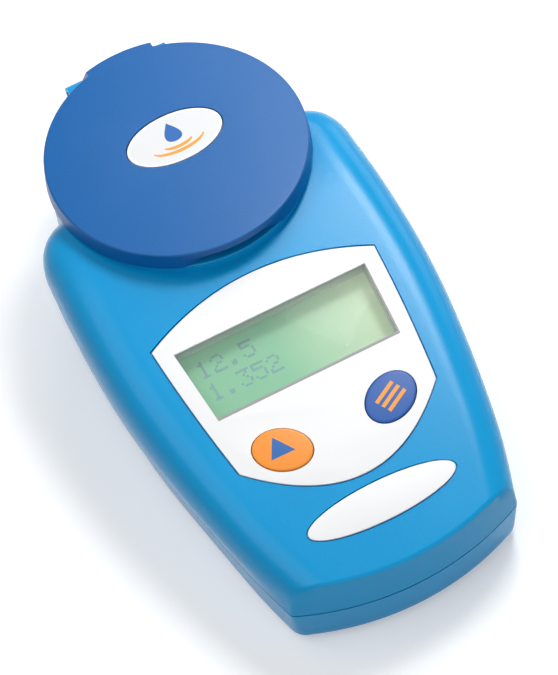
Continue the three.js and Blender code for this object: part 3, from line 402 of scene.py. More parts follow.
def case_top(name, offset, inward):
    """The case above its parting line as a closed solid, moved in by an offset.

    Wall rings lean from the tucked parting line out to the draft. Then points run along straight rays to a
    spine on the middle plane, at the given distances in from the edge and at four last shares of the way,
    each at the top surface's height. On the spine both sides share their points.
    """
    foot = plan_in(lambda y: offset + tuck_in(y))
    edge = plan_in(lambda y: offset + upper_draft + 0 * y)
    spine = np.stack([np.zeros(len(edge)), np.clip(edge[:, 1], side_end + spine_lead, spine_back)], -1)
    reach = np.hypot(*(spine - edge).T)[:, None]
    rim = top_height(*edge.T, offset)
    rings = [np.column_stack([foot + (edge - foot) * share, parting_top + (rim - parting_top) * share])
             for share in (0, 0.33, 0.67)]
    start = edge + (spine - edge) * inward[-1] / reach
    for at in ([edge + (spine - edge) * np.minimum(distance / reach, 1) for distance in inward]
               + [start + (spine - start) * share for share in (0.2, 0.45, 0.7, 1)]):
        rings.append(np.column_stack([at, top_height(*at.T, offset)]))
    count = len(edge)
    piece = mesh_piece(name, placed(rings), ring_faces(len(rings), count) + [list(range(count - 1, -1, -1))])
    work = bmesh.new()
    work.from_mesh(piece.data)
    bmesh.ops.remove_doubles(work, verts=work.verts, dist=1e-7)
    bmesh.ops.recalc_face_normals(work, faces=work.faces)
    work.to_mesh(piece.data)
    work.free()
    softened(piece.data)
    return piece


def bowed(a, b, sag, steps):
    """Points of a slightly bowed edge from a to b that stands out to the right, without the last point."""
    a, b = np.array(a, float), np.array(b, float)
    along = b - a
    out = np.array([along[1], -along[0]]) / np.hypot(*along)
    t = np.linspace(0, 1, steps, endpoint=False)[:, None]
    return a + along * t + out * 4 * sag * t * (1 - t)


def panel_outline(grow):
    """The shield-shaped panel's outline: four corners joined by bowed edges, grown by a distance."""
    top_right, low_right = (panel_top_half + grow, panel_top_y + grow), (panel_low_half + grow, panel_low_y)
    top_left, low_left = (-top_right[0], top_right[1]), (-low_right[0], low_right[1])
    return np.vstack([bowed(low_left, low_right, panel_low_bow + grow, 72),
                      bowed(low_right, top_right, panel_side_bow, 16),
                      bowed(top_right, top_left, panel_top_bow, 56),
                      bowed(top_left, low_left, panel_side_bow, 16)])


def plate_outline(grow, steps=96):
    """The white oval's outline near the front edge, grown by a distance."""
    return oval(0, plate_y, plate_half_length + grow, plate_half_width + grow, 0, steps)


def window_outline(grow):
    """The display window's outline, a little narrower at its lower edge, grown by a distance."""
    low, top = (window_low_half + grow, window_low_y - grow), (window_top_half + grow, window_top_y + grow)
    return np.array([(-low[0], low[1]), low, top, (-top[0], top[1])])


def key_outline(side, grow):
    """A key's oval, turned so that its outer end points up the slope, grown by a distance."""
    return oval(side * key_x, key_y, key_half_length + grow, key_half_width + grow, side * key_turn)


def hinge_hole():
    """A long bar along the hinge's axis, to bore through what turns on the pin."""
    return crosswise("hinge_hole", [(x, arc(hinge_y, hinge_height, pin_radius + fit_gap, 0, 360, 40)[:-1])
                                    for x in (-hinge_bore_half, hinge_bore_half)])


_, hinge_y, hinge_height = middle_of("hinge_pin")
screw_places = [middle_of(f"case_screw_{i}")[:2] for i in (1, 2, 3, 4)]
edge_steps = np.concatenate([np.linspace(0, 0.3, 5), np.linspace(0.4, 1.4, 9), np.linspace(1.7, 10.8, 24)])
upper_shell = case_top("upper_shell_moulding", 0, edge_steps)
head_wall = [(head_radius, parting_top), (head_radius, head_top - head_edge)]
head_wall += arc(head_radius - head_edge, head_top - head_edge, head_edge, 0, 90, 4)[1:].tolist()
carve(upper_shell, turned("head", head_wall, 192), "UNION")
inside = case_top("inside", shell_wall, np.linspace(0, 8, 7))
head_inside = head_radius - shell_wall
head_room = [(head_inside, parting_top - 1), (head_inside, head_top - shell_wall)]
carve(inside, turned("head_inside", head_room, 96), "UNION")
carve(upper_shell, inside)
for x, y in screw_places:
    under_deck = float(top_height(np.array(x), np.array(y), shell_wall / 2))
    boss_top = head_top - shell_wall / 2 if y > 0 else under_deck
    boss = [(boss_radius, parting_top), (boss_radius, boss_top)]
    carve(upper_shell, turned("boss", boss, 40, (x, y)), "UNION")
    carve(upper_shell, turned("pilot", [(screw_hole, 0), (screw_hole, pilot_top)], 32, (x, y)))
for x in (-post_x, post_x):
    for y in (post_far_y, post_near_y):
        post = prism("post", oval(x, y, post_radius, post_radius, 0, 40), post_foot, -shell_wall / 2, on_deck)
        carve(upper_shell, post, "UNION")
well_seat, seat_radius = head_top - dish_flange - fit_gap, dish_radius + fit_gap
hole_radius, ledge_radius = well_radius + dish_wall + fit_gap, dish_radius + shell_wall
ledge = [(hole_radius, well_seat - shell_wall), (ledge_radius, well_seat - shell_wall),
         (ledge_radius, well_seat), (hole_radius, well_seat)]
carve(upper_shell, turned("seat", [(seat_radius, well_seat), (seat_radius, lid_top)], 192))
carve(upper_shell, turned("well_hole", [(hole_radius, well_cut_foot), (hole_radius, lid_top)], 128))
carve(upper_shell, turned("ledge", ledge, 128, ring=True), "UNION")
recess = -fit_gap - panel_thickness + panel_proud
for outline, depth in ((panel_outline(panel_edge_gap), recess), (plate_outline(panel_edge_gap), recess),
                       (window_outline(window_lap + fit_gap), -cutter_reach),
                       (key_outline(-1, key_gap), -cutter_reach), (key_outline(1, key_gap), -cutter_reach)):
    carve(upper_shell, prism("opening", outline, depth, cutter_reach, on_deck))
lug_inner, lug_front = knuckle_half + running_gap, head_radius - shell_wall
lug_side = np.vstack([[(lug_front, hinge_height + knuckle_radius)],
                      arc(hinge_y, hinge_height, knuckle_radius, 90, -45, 24),
                      [(lug_front, hinge_height - 2 * knuckle_radius - shell_wall)]])[::-1]
for low_x, high_x in ((-lug_inner - lug_thickness, -lug_inner), (lug_inner, lug_inner + lug_thickness)):
    carve(upper_shell, crosswise("lug", [(low_x, lug_side), (high_x, lug_side)]), "UNION")
carve(upper_shell, hinge_hole())


def mottled(tree, place, scale, low, high):
    """Noise of a fineness over a piece, and a gloss that follows it between two roughnesses."""
    noise = add_node(tree, "TexNoise", {"Vector": place, "Scale": scale}).outputs["Fac"]
    gloss = add_node(tree, "MapRange", {"Value": noise, "To Min": low, "To Max": high}).outputs["Result"]
    return noise, gloss


def moulded_plastic(name, colour, roughness, sheen=0.5, grain=0.02):
    """Moulded plastic: a colour that drifts by a few hundredths over 20 mm, a satin face whose gloss varies
    in soft patches, and a fine spark-eroded grain as bump."""
    material, tree, shader, place = new_material(name)
    drift, gloss = mottled(tree, place, 45, roughness - 0.04, roughness + 0.04)
    tone = np.array(linear(colour)[:3])
    blend = add_node(tree, "Mix", {"Factor": drift, "A": (*(tone * 0.96), 1),
                                   "B": (*np.minimum(tone * 1.04, 1), 1)}, data_type="RGBA")
    fine = add_node(tree, "TexNoise", {"Vector": place, "Scale": 3200, "Detail": 1}).outputs["Fac"]
    bump = add_node(tree, "Bump", {"Height": fine, "Strength": 1, "Distance": grain / 1000})
    feed(shader, {"Base Color": blend.outputs["Result"], "Roughness": gloss, "Specular IOR Level": sheen,
                  "Normal": bump.outputs["Normal"]})
    return material


def dress(piece, *materials):
    """Gives a piece its materials in place of any that came with its mesh."""
    piece.data.materials.clear()
    for material in materials:
        piece.data.materials.append(material)


def finish(piece, body, material, node=None):
    """Dresses a piece, and says which body it rides on and the solid it replaces."""
    dress(piece, material)
    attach(piece, body)
    if node:
        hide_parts(node)


case_blue = moulded_plastic("case_blue_plastic", (0, 153, 214), 0.24, sheen=0.22)
finish(upper_shell, "case", case_blue, "upper_shell")

# Lower shell: the moulded tray under the parting line, in the same plastic. It has a soft round along its
# foot, the battery bay with its door opening, four screw wells and four shallow seats for the feet.
shell_base, base_round, foot_corner, lower_draft, shoulder_lower_draft = 0.8, 2.6, 7.5, 0.7, 2.3
bay_y, bay_top, bay_half_width, bay_half_length = middle_of("battery_door")[1], 14.5, 12.4, 26.0
bay_wall, bay_inside, door_lap, door_thickness, door_corner = 1.5, 13.5, 1.6, 1.6, 2.0
screw_head_hole, screw_sink, shank_top, foot_radius, foot_sink, round_steps = 2.3, 4.3, 18, 4.0, 0.7, 11
foot_places = [middle_of(f"foot_{i}")[:2] for i in (1, 2, 3, 4)]


def foot_rings(offset):
    """Heights and insets of the wall's foot, and the share of the draft there: a quarter round, then a
    straight draft up to the parting line."""
    round_radius = base_round - offset / 2
    low_wall = shell_base + offset + round_radius
    angle = np.radians(np.linspace(0, 90, round_steps))
    heights = np.append(low_wall - round_radius * np.cos(angle), parting_bottom)
    insets = np.append(round_radius * (1 - np.sin(angle)), 0)
    parts = np.append(np.ones(round_steps), (parting_top - parting_bottom) / (parting_top - low_wall))
    return heights, insets, parts


def case_bottom(name, offset, head_steps):
    """The case below its parting line as a closed solid, moved in by an offset, with the head's round foot.
    Its front corners open from the parting line's small radius to a large one at the foot."""
    heights, insets, parts = foot_rings(offset)
    more_draft = shoulder_lower_draft - lower_draft
    depths = (parting_top - heights) / (parting_top - shell_base)
    corners = front_corner + (foot_corner - front_corner) * depths ** 2

    def inward(inset, part):
        """How far in from the plan the wall stands at a level, for places along Y."""
        return lambda y: offset + tuck_in(y) + (lower_draft + more_draft * side_share(y)) * part + inset

    solid = stacked(name, [(plan_in(inward(inset, part), corner), height)
                           for height, inset, part, corner in zip(heights, insets, parts, corners)])
    head = np.column_stack([head_radius - offset - insets - lower_draft * parts, heights])
    carve(solid, turned("head_foot", head, head_steps), "UNION")
    return solid


def block(name, x, y, z, width, length, height):
    """A plain block about a middle point, as a cutter or a web."""
    corners = np.array([(-1, -1), (1, -1), (1, 1), (-1, 1)]) * (width / 2, length / 2) + (x, y)
    return prism(name, corners, z - height / 2, z + height / 2)


def rounded_outline(half_width, half_length, radius, middle_y):
    """A rectangle's outline with rounded corners."""
    x, y = half_width - radius, half_length - radius
    return np.vstack([arc(sx * x, middle_y + sy * y, radius, start, start + 90, 8)
                      for sx, sy, start in ((1, 1, 0), (-1, 1, 90), (-1, -1, 180), (1, -1, 270))])


lower_shell = case_bottom("lower_shell_tray", 0, 192)
carve(lower_shell, case_bottom("hollow", shell_wall, 96))
carve(lower_shell, block("bay", 0, bay_y, (shell_base + bay_top) / 2, 2 * (bay_half_width + bay_wall),
                         2 * (bay_half_length + bay_wall), bay_top - shell_base), "UNION")
for spot in screw_places:
    boss = [(boss_radius, shell_base + shell_wall / 2), (boss_radius, parting_bottom)]
    carve(lower_shell, turned("boss", boss, 40, spot), "UNION")
    carve(lower_shell, turned("shank", [(screw_hole, 0), (screw_hole, shank_top)], 32, spot))
    carve(lower_shell, turned("head_well", [(screw_head_hole, 0), (screw_head_hole, screw_sink)], 40, spot))
for spot in foot_places:
    seat = [(foot_radius + fit_gap, 0), (foot_radius + fit_gap, shell_base + foot_sink)]
    carve(lower_shell, turned("foot_seat", seat, 64, spot))
carve(lower_shell, block("bay_hollow", 0, bay_y, 0, 2 * bay_half_width, 2 * bay_half_length, 2 * bay_inside))
door_half_width, door_half_length = bay_half_width + door_lap, bay_half_length + door_lap
opening = rounded_outline(door_half_width + fit_gap, door_half_length + fit_gap, door_corner, bay_y)
carve(lower_shell, prism("door_opening", opening, -cutter_reach / 2, shell_base + door_thickness + fit_gap))
finish(lower_shell, "case", case_blue, "lower_shell")

# Battery door: a flush plate in the same plastic with rounded corners, two snap ribs that stand in the bay's
# end walls, and a pad of fine grooves for the thumb.
door_edge, rib_wall, rib_height, overlap = 0.25, 1.4, 1.5, 0.02
grip_length, grip_ribs, grip_depth = 9.0, 4, 0.4


def soft_prism(name, outline, low, high, radius, turn=np.array, both=False):
    """An outline carried up between two heights, its upper edge (or both edges) rounded by a small radius."""
    levels = [(radius * (1 - math.sin(a)), high - radius * (1 - math.cos(a)))
              for a in np.radians(np.linspace(90, 0, 5))]
    foot = [(i, low + high - z) for i, z in levels[::-1]] if both else [(0, low)]
    return stacked(name, [(drawn_in(outline, inset), z) for inset, z in foot + levels], turn)


door_outline = rounded_outline(door_half_width, door_half_length, door_corner, bay_y)
battery_door = soft_prism("battery_door_plate", door_outline, shell_base, shell_base + door_thickness,
                          door_edge, both=True)
for way in (-1, 1):
    rib_y = bay_y + way * (bay_half_length - fit_gap - rib_wall / 2)
    rib_middle = shell_base + door_thickness + rib_height / 2
    carve(battery_door, block("rib", 0, rib_y, rib_middle, bay_half_width, rib_wall,
                              rib_height + overlap), "UNION")
for i in range(grip_ribs):
    groove_y = bay_y + bay_half_length - grip_length + i * grip_length / grip_ribs
    carve(battery_door, block("groove", 0, groove_y, shell_base, bay_half_width, grip_length / grip_ribs / 2,
                              2 * grip_depth))
finish(battery_door, "battery_cover", case_blue, "battery_door")

# Lid: a shallow cap moulded in a darker blue, flat on top with a slightly flared rim. Its front is cut back
# for the finger and closed by a low web, a groove underneath holds the seal, and a strap runs back to the
# hinge pin.
lid_plate, lid_rim_height, lid_rim_wall, lid_flare, lid_edge_round = 2.0, 4.3, 1.7, 0.3, 0.5
lid_radius = (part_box("lid_cover")[1].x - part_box("lid_cover")[0].x) / 2 * 1000 - lid_flare
notch_half_width, notch_height, notch_wall, notch_span, notch_reach = 11.5, 2.7, 1.3, 80, 6
seal_radius, seal_width, seal_groove = 21, 2.2, 0.7
badge_x, badge_y, badge_half_length, badge_half_width, badge_thickness = 0.9, 2.5, 11.1, 6.5, 0.8
strap_overhang, strap_root, strap_drop = 1.5, 6, 6
strap_reach, strap_front = head_radius + strap_overhang, lid_radius - strap_root
strap_back = hinge_y + knuckle_radius
lid_under, lid_rim_bottom, lid_flared = lid_top - lid_plate, lid_top - lid_rim_height, lid_radius + lid_flare
groove_inside, groove_outside = seal_radius - seal_width / 2 - fit_gap, seal_radius + seal_width / 2 + fit_gap
rim_inside, rim_edge, root_round = lid_radius - lid_rim_wall, 0.15, 0.6
lid_profile = [(groove_inside, lid_under), (groove_inside, lid_under + seal_groove),
               (groove_outside, lid_under + seal_groove), (groove_outside, lid_under),
               (rim_inside - root_round, lid_under),
               (rim_inside - root_round * 0.3, lid_under - root_round * 0.3),
               (rim_inside, lid_under - root_round), (rim_inside, lid_rim_bottom + rim_edge),
               (rim_inside + rim_edge, lid_rim_bottom), (lid_flared - rim_edge, lid_rim_bottom),
               (lid_flared, lid_rim_bottom + rim_edge)]
lid_profile += arc(lid_radius - lid_edge_round, lid_top - lid_edge_round, lid_edge_round, 0, 90, 7).tolist()
lid = turned("lid_cap", lid_profile, 256)
chord = math.sqrt(lid_radius ** 2 - notch_half_width ** 2)
web = block("web", 0, -chord + notch_wall / 2, (lid_under + lid_rim_bottom) / 2, 2 * notch_half_width,
            notch_wall, lid_under - lid_rim_bottom + overlap)
carve(web, turned("web_limit", [(lid_radius, lid_rim_bottom), (lid_radius, lid_top)], 128), "INTERSECT")
carve(lid, web, "UNION")
carve(lid, block("notch", 0, -chord - notch_reach / 2, lid_rim_bottom, notch_span, notch_reach,
                 2 * notch_height))


def badge_outline(grow):
    """The badge's oval, grown by a distance."""
    return oval(badge_x, badge_y, badge_half_length + grow, badge_half_width + grow, 0, 128)


carve(lid, prism("badge_hole", badge_outline(fit_gap), lid_top - badge_thickness - fit_gap, lid_top + 1))
strap_side = np.vstack([[(strap_front, lid_under), (hinge_y - knuckle_radius, lid_under)],
                        arc(hinge_y, hinge_height, knuckle_radius, -180, 0, 32),
                        [(strap_back, lid_top), (strap_front, lid_top)]])
strap = crosswise("strap", [(-knuckle_half, strap_side), (knuckle_half, strap_side)])
slope_foot = math.hypot(strap_back, knuckle_half) + fit_gap
slope = [(slope_foot, hinge_height - strap_drop), (slope_foot, hinge_height),
         (strap_reach, lid_top - lid_edge_round)]
slope += arc(strap_reach - lid_edge_round, lid_top - lid_edge_round, lid_edge_round, 0, 90, 6)[1:].tolist()
carve(strap, turned("strap_slope", slope, 256), "INTERSECT")
carve(lid, strap, "UNION")
carve(lid, hinge_hole())
lid_blue = moulded_plastic("lid_blue_plastic", (2, 93, 163), 0.34, sheen=0.3)
finish(lid, "lid", lid_blue, "lid_cover")

# Lid badge: a white enamelled oval, flush in its recess. Its print is a pale grey field inside a white rim,
# with a blue drop that falls onto two orange ripples.
ink_thickness, field_rim = 0.02, 0.55
badge_face = lid_top - ink_thickness
drop_half_width, drop_half_height, drop_lift, drop_point, drop_fullness = 2.3, 2.75, 1.7, 1.5, 1.2
ripple_sink, ripple_weight, ripple_taper = 1.5, 0.42, 0.6
lid_badge = soft_prism("lid_badge_oval", badge_outline(0), lid_top - badge_thickness, badge_face, 0.12)
badge_white = moulded_plastic("badge_white_enamel", (250, 250, 250), 0.3, sheen=0.4, grain=0.004)
finish(lid_badge, "lid", badge_white, "lid_badge")


def printed(name, colour):
    """Screen-printed ink: an even colour, broken by a faint mottle of the mesh it was printed through. It
    also makes the grey band of painted shade along the window's edge.
    """
    return moulded_plastic(name, colour, 0.45, sheen=0.35, grain=0.003)


def joined(name, pieces):
    """Several pieces made one object with one mesh, each keeping its own closed shape."""
    work = bmesh.new()
    for piece in pieces:
        work.from_mesh(piece.data)
        bpy.data.objects.remove(piece)
    whole = bpy.data.meshes.new(name)
    work.to_mesh(whole)
    work.free()
    return linked(name, softened(whole))


print_blue = printed("print_blue_ink", (28, 98, 172))
print_orange = printed("print_orange_ink", (250, 160, 52))
field = joined("badge_field", [prism("badge_field", badge_outline(-field_rim), badge_face - ink_thickness,
                                     badge_face + ink_thickness / 2)])
finish(field, "lid", printed("print_grey_ink", (224, 226, 228)))
turn = np.linspace(0, 2 * np.pi, 65)[:-1]
drop_outline = np.stack([-drop_half_width * np.sin(turn) * np.sin(turn / 2) ** drop_point * drop_fullness,
                         drop_half_height * np.cos(turn)], -1) + (badge_x, badge_y + drop_lift)
drop = joined("badge_drop", [prism("drop", drop_outline, badge_face - ink_thickness, lid_top)])
finish(drop, "lid", print_blue)
ripples = []
for half_length, half_width in ((3.3, 1.15), (6.1, 2.35)):
    turn = np.radians(np.linspace(190, 350, 49))
    line = np.stack([badge_x + half_length * np.cos(turn),
                     badge_y - ripple_sink + half_width * np.sin(turn)], -1)
    along = np.gradient(line, axis=0)
    along /= np.hypot(*along.T)[:, None]
    taper = ripple_weight * np.sin(np.linspace(0.12, np.pi - 0.12, len(turn))) ** ripple_taper
    side = np.stack([-along[:, 1], along[:, 0]], -1) * taper[:, None]
    outline = np.vstack([line - side, (line + side)[::-1]])
    ripples.append(prism("ripple", outline, badge_face - ink_thickness, lid_top))
finish(joined("badge_ripples", ripples), "lid", print_orange)

# Keypad overlay: a white film with a satin face, let into the deck. It is cut out for the display and the
# keys, and its edge lies a hair above the plastic, with a dark line of shadow all round.
film_edge, key_edge_gap, film_cut = 0.1, 0.05, 3
film_foot = panel_proud - panel_thickness
overlay = soft_prism("keypad_overlay_film", panel_outline(0), film_foot, panel_proud, film_edge, on_deck)
for hole in (window_outline(0), key_outline(-1, key_edge_gap), key_outline(1, key_edge_gap)):
    carve(overlay, prism("cut", hole, -film_cut, film_cut, on_deck))
panel_white = moulded_plastic("panel_white_film", (243, 244, 245), 0.5, sheen=0.4, grain=0.004)
finish(overlay, "case", panel_white, "keypad_overlay")

# Window edge shade: a narrow grey band laid on the film along the near and right edges of the cut-out.
# It is painted shade of the cut edge there. Its inner side is cut to the opening's own outline.
painted_edge_shade_reach = [(-0.05, -0.62), (0.3, -0.62), (0.24, 0.06), (-0.05, 0.06)]
painted_edge_shade = prism("window_edge_painted_shade", window_outline(0) + painted_edge_shade_reach, panel_proud - ink_thickness,
                  panel_proud + ink_thickness / 2, on_deck)
carve(painted_edge_shade, prism("window_cut", window_outline(0), -1, 1, on_deck))
# Its grey (150, 152, 150) is painted shade along the cut edge, not print.
finish(painted_edge_shade, "case", printed("painted_edge_shade_grey", (150, 152, 150)))

# Front plate: a bare white oval of the same film, let into the deck between the panel and the front edge.
# It lies as high as the panel, with the same fine edge and the same gap round it.
front_plate = soft_prism("front_plate_oval", plate_outline(0, 128), film_foot, panel_proud, film_edge,
                         on_deck)
finish(front_plate, "case", panel_white, "front_plate")

# Keys: crowned ovals of coloured plastic that stand a little above the film, each with a retaining flange
# under the case wall and a stem over its switch. Each carries one plain printed sign.
key_proud, key_crown, key_slack, key_round = 0.42, 0.15, 0.16, 0.18
key_flange, key_flange_thickness, key_stem_radius, key_stem = 1.1, 0.5, 2.0, 0.25
key_bottom = -shell_wall - fit_gap - key_flange_thickness
key_rings = (1, 0.93, 0.85, 0.75, 0.65, 0.5, 0.35, 0.2, 0.08)


def key_face(side, x, y):
    """Height of a key's crowned face at places on the deck, which falls with the square from its middle."""
    c, s = math.cos(math.radians(side * key_turn)), math.sin(math.radians(side * key_turn))
    along, across = (x - side * key_x) * c + (y - key_y) * s, -(x - side * key_x) * s + (y - key_y) * c
    rho = (along / key_half_length) ** 2 + (across / key_half_width) ** 2
    return key_proud + key_crown * np.clip(1 - rho, 0, 1)


def key_cap(name, side):
    """A key as a closed solid: flange, wall, a small round at its edge and the crowned face in rings."""
    flange, wall = key_outline(side, key_flange), key_outline(side, -key_slack)
    flange_top = key_bottom + key_flange_thickness
    layers = [(flange, key_bottom), (flange, flange_top), (wall, flange_top), (wall, key_proud - key_round)]
    for a in np.radians((22, 45, 68)):
        layers.append((key_outline(side, -key_slack - key_round * (1 - math.cos(a))),
                       key_proud - key_round * (1 - math.sin(a))))
    middle, rim = np.array([side * key_x, key_y]), key_outline(side, -key_slack - key_round)
    for ring in [middle + (rim - middle) * share for share in key_rings]:
        layers.append((ring, key_face(side, *ring.T)))
    return stacked(name, layers, on_deck)


def key_sign(name, side, outline):
    """A printed sign on a key: a thin film that follows the crown, from an outline drawn about the key's
    middle with its own long axis along X. Its face runs in rings from the outline to its middle."""
    c, s = math.cos(math.radians(side * key_turn)), math.sin(math.radians(side * key_turn))
    layers = []
    for share, lift in ((1, -ink_thickness), (1, ink_thickness), (0.6, ink_thickness), (0.05, ink_thickness)):
        x, y = (outline.mean(0) + (outline - outline.mean(0)) * share).T
        spot = np.stack([side * key_x + x * c - y * s, key_y + x * s + y * c], -1)
        layers.append((spot, key_face(side, *spot.T) + lift))
    return stacked(name, layers, on_deck)


arrow = 1.5 * np.array([(-1.5, 0), (-1.5, -1.75), (0.15, -0.875), (1.8, 0), (0.15, 0.875), (-1.5, 1.75)])
bar = np.array([(-3, -0.42), (0, -0.42), (3, -0.42), (3, 0.42), (0, 0.42), (-3, 0.42)])
bars = [bar + (0, y) for y in (-1.6, 0, 1.6)]
for word, side, colour, slot, signs, sign_slot, ink in (
        ("start", -1, (247, 150, 52), "key_orange", [arrow], "key_blue", print_blue),
        ("menu", 1, (36, 90, 168), "key_blue", bars, "key_orange", print_orange)):
    cap = key_cap(f"{word}_key_cap", side)
    stem = oval(side * key_x, key_y, key_stem_radius, key_stem_radius, 0, 40)
    carve(cap, prism("stem", stem, key_bottom - key_stem, key_bottom + fit_gap, on_deck), "UNION")
    plastic = moulded_plastic(f"{word}_key_plastic", colour, 0.38, sheen=0.3, grain=0.008)
    finish(cap, f"{word}_button", plastic, f"{word}_key")
    sign = joined(f"{word}_sign", [key_sign("sign", side, outline) for outline in signs])
    finish(sign, f"{word}_button", ink)

# Display window: a clear moulded pane under the film that closes the top of the display's well. Its gloss
# varies a little over the pane.
window_face, window_thickness = film_foot - fit_gap, 1.0
window = soft_prism("display_window_pane", window_outline(window_lap), window_face - window_thickness,
                    window_face, film_edge, on_deck)
pane, tree, shader, place = new_material("window_clear")
_, gloss = mottled(tree, place, 220, 0.02, 0.08)
feed(shader, {"Base Color": (0.9, 0.96, 0.93, 1), "Alpha": 0.06, "Specular IOR Level": 0.4,
              "Roughness": gloss})
finish(window, "case", pane, "display_window")

# Display bezel: a grey frame that lines the well from the window down to the glass. Its flange lies under
# the case wall, and its opening stands back from the film's cut-out at the far side and on the right.
bezel_wall, bezel_flange, bezel_flange_thickness, display_depth = 1.0, 2.6, 0.8, 5.2
bezel_back, bezel_cut = [(0, 0), (0.2, 0), (0.2, 0.6), (0, 0.6)], 9
bezel_top, bezel_foot = window_face - window_thickness - fit_gap, fit_gap - display_depth
bezel_flange_top = -shell_wall - fit_gap
bezel = prism("display_bezel_frame", window_outline(bezel_wall), bezel_foot, bezel_top, on_deck)
carve(bezel, prism("flange", window_outline(bezel_flange), bezel_flange_top - bezel_flange_thickness,
                   bezel_flange_top, on_deck), "UNION")
carve(bezel, prism("bezel_hole", window_outline(0) + bezel_back, -bezel_cut, film_cut, on_deck))
bezel_grey = moulded_plastic("bezel_grey_plastic", (212, 212, 212), 0.6, grain=0.01)
finish(bezel, "case", bezel_grey, "display_bezel")

# Display glass: the character display at the bottom of the well, pale green from the light behind it. Its
# colour darkens towards its left end as painted shade, and turns lighter and yellower towards its right end.
display_thickness = 1.8
glass = soft_prism("character_glass", window_outline(bezel_flange), -display_depth - display_thickness,
                   -display_depth, film_edge, on_deck)
lit_green, tree, shader, place = new_material("display_green_glass")
across = add_node(tree, "SeparateXYZ", {0: place}).outputs["X"]
share = add_node(tree, "MapRange", {"Value": across, "From Min": -window_top_half / 1000,
                                    "From Max": window_top_half / 1000}).outputs["Result"]
# The ramp's darker left end is painted shade; the glow below follows the same ramp.
painted_shade_ramp = add_node(tree, "ValToRGB", {"Fac": share})
painted_shade_ramp.color_ramp.elements[0].position = 0.45
painted_shade_ramp.color_ramp.elements[0].color = linear((104, 166, 128))
painted_shade_ramp.color_ramp.elements[1].color = linear((174, 194, 160))
_, gloss = mottled(tree, place, 120, 0.45, 0.6)
feed(shader, {"Base Color": painted_shade_ramp.outputs["Color"], "Emission Color": painted_shade_ramp.outputs["Color"],
              "Emission Strength": 0.34, "Roughness": gloss})
finish(glass, "case", lit_green, "display_glass")

# Reading: two rows of plain figures, each figure a grid of five by seven square dots on the glass. Every dot
# is a small flat block that stands half in the glass and half above it.
figures = {"1": "00100 01100 00100 00100 00100 00100 01110", "2": "01110 10001 00001 00110 01000 10000 11111",
           "3": "11111 00010 00100 00010 00001 10001 01110", "5": "11111 10000 11110 00001 00001 10001 01110",
           ".": "00000 00000 00000 00000 00000 01100 01100"}
dot_pitch, dot_side, dot_height, figure_pitch, reading_x = 0.6, 0.54, 0.02, 3.5, -19.4
dots = [(reading_x + place * figure_pitch + column * dot_pitch, top_y - row * dot_pitch)
        for text, top_y in (("12.5", -44.5), ("1.352", -50.3)) for place, figure in enumerate(text)
        for row, line in enumerate(figures[figure].split())
        for column, mark in enumerate(line) if mark == "1"]
squares = np.array(dots)[:, None] + np.array([(0, -1), (1, -1), (1, 0), (0, 0)]) * dot_side
cubes = np.concatenate([np.dstack([squares, np.full(squares.shape[:2], z)])
                        for z in (-display_depth - dot_height, -display_depth + dot_height)], 1)
sides = np.array([(3, 2, 1, 0), (4, 5, 6, 7), (0, 1, 5, 4), (1, 2, 6, 5), (2, 3, 7, 6), (3, 0, 4, 7)])
dot_faces = (np.arange(len(dots))[:, None, None] * 8 + sides).reshape(-1, 4).tolist()
reading = mesh_piece("reading_dots", placed(on_deck(cubes)), dot_faces)
finish(reading, "case", printed("reading_grey", (104, 156, 156)))

# Sample dish: the well that takes the drops, pressed from stainless steel and turned bright, with a flat
# flange on the head's seat, a sloping wall and a hole for the prism's neck.
well_floor_radius, well_depth, prism_radius = 7.5, 4.8, 5.0
flange_edge, lip_round, floor_round, floor_lift, neck_edge = 0.2, 0.8, 0.3, 0.12, 0.15
dish_floor, dish_under, neck_hole = head_top - well_depth, head_top - dish_flange, prism_radius + fit_gap
dish_profile = [(neck_hole, dish_floor - dish_wall), (well_floor_radius + dish_wall, dish_floor - dish_wall),
                (well_radius + dish_wall / 2, dish_under), (dish_radius, dish_under),
                (dish_radius, head_top - flange_edge), (dish_radius - flange_edge, head_top)]
dish_profile += arc(well_radius, head_top - lip_round, lip_round, 90, 150, 6).tolist()
dish_profile += [(well_floor_radius + floor_round, dish_floor + floor_lift),
                 (well_floor_radius - floor_round, dish_floor), (neck_hole + neck_edge, dish_floor),
                 (neck_hole, dish_floor - neck_edge)]
dish = turned("sample_dish_well", dish_profile, 192, ring=True)


def bright_metal(name, colour, roughness, lines="BANDS", scale=900.0):
    """Machined metal: its gloss and a shallow bump follow fine lines, round the well's axis or along X."""
    material, tree, shader, place = new_material(name)
    centred = add_node(tree, "Mapping", {"Vector": place, "Location": (0, -well_axis_y / 1000, 0)})
    wave = add_node(tree, "TexWave", {"Vector": centred.outputs["Vector"], "Scale": scale, "Distortion": 1.5,
                                      "Detail": 2}, wave_type=lines, rings_direction="Z").outputs["Fac"]
    gloss = add_node(tree, "MapRange", {"Value": wave, "To Min": roughness, "To Max": roughness + 0.1})
    bump = add_node(tree, "Bump", {"Height": wave, "Strength": 0.5, "Distance": 0.000006})
    feed(shader, {"Base Color": linear(colour), "Metallic": 1, "Roughness": gloss.outputs["Result"],
                  "Normal": bump.outputs["Normal"]})
    return material


turned_steel = bright_metal("turned_steel", (206, 210, 214), 0.2, "RINGS")
finish(dish, "case", turned_steel, "sample_dish")

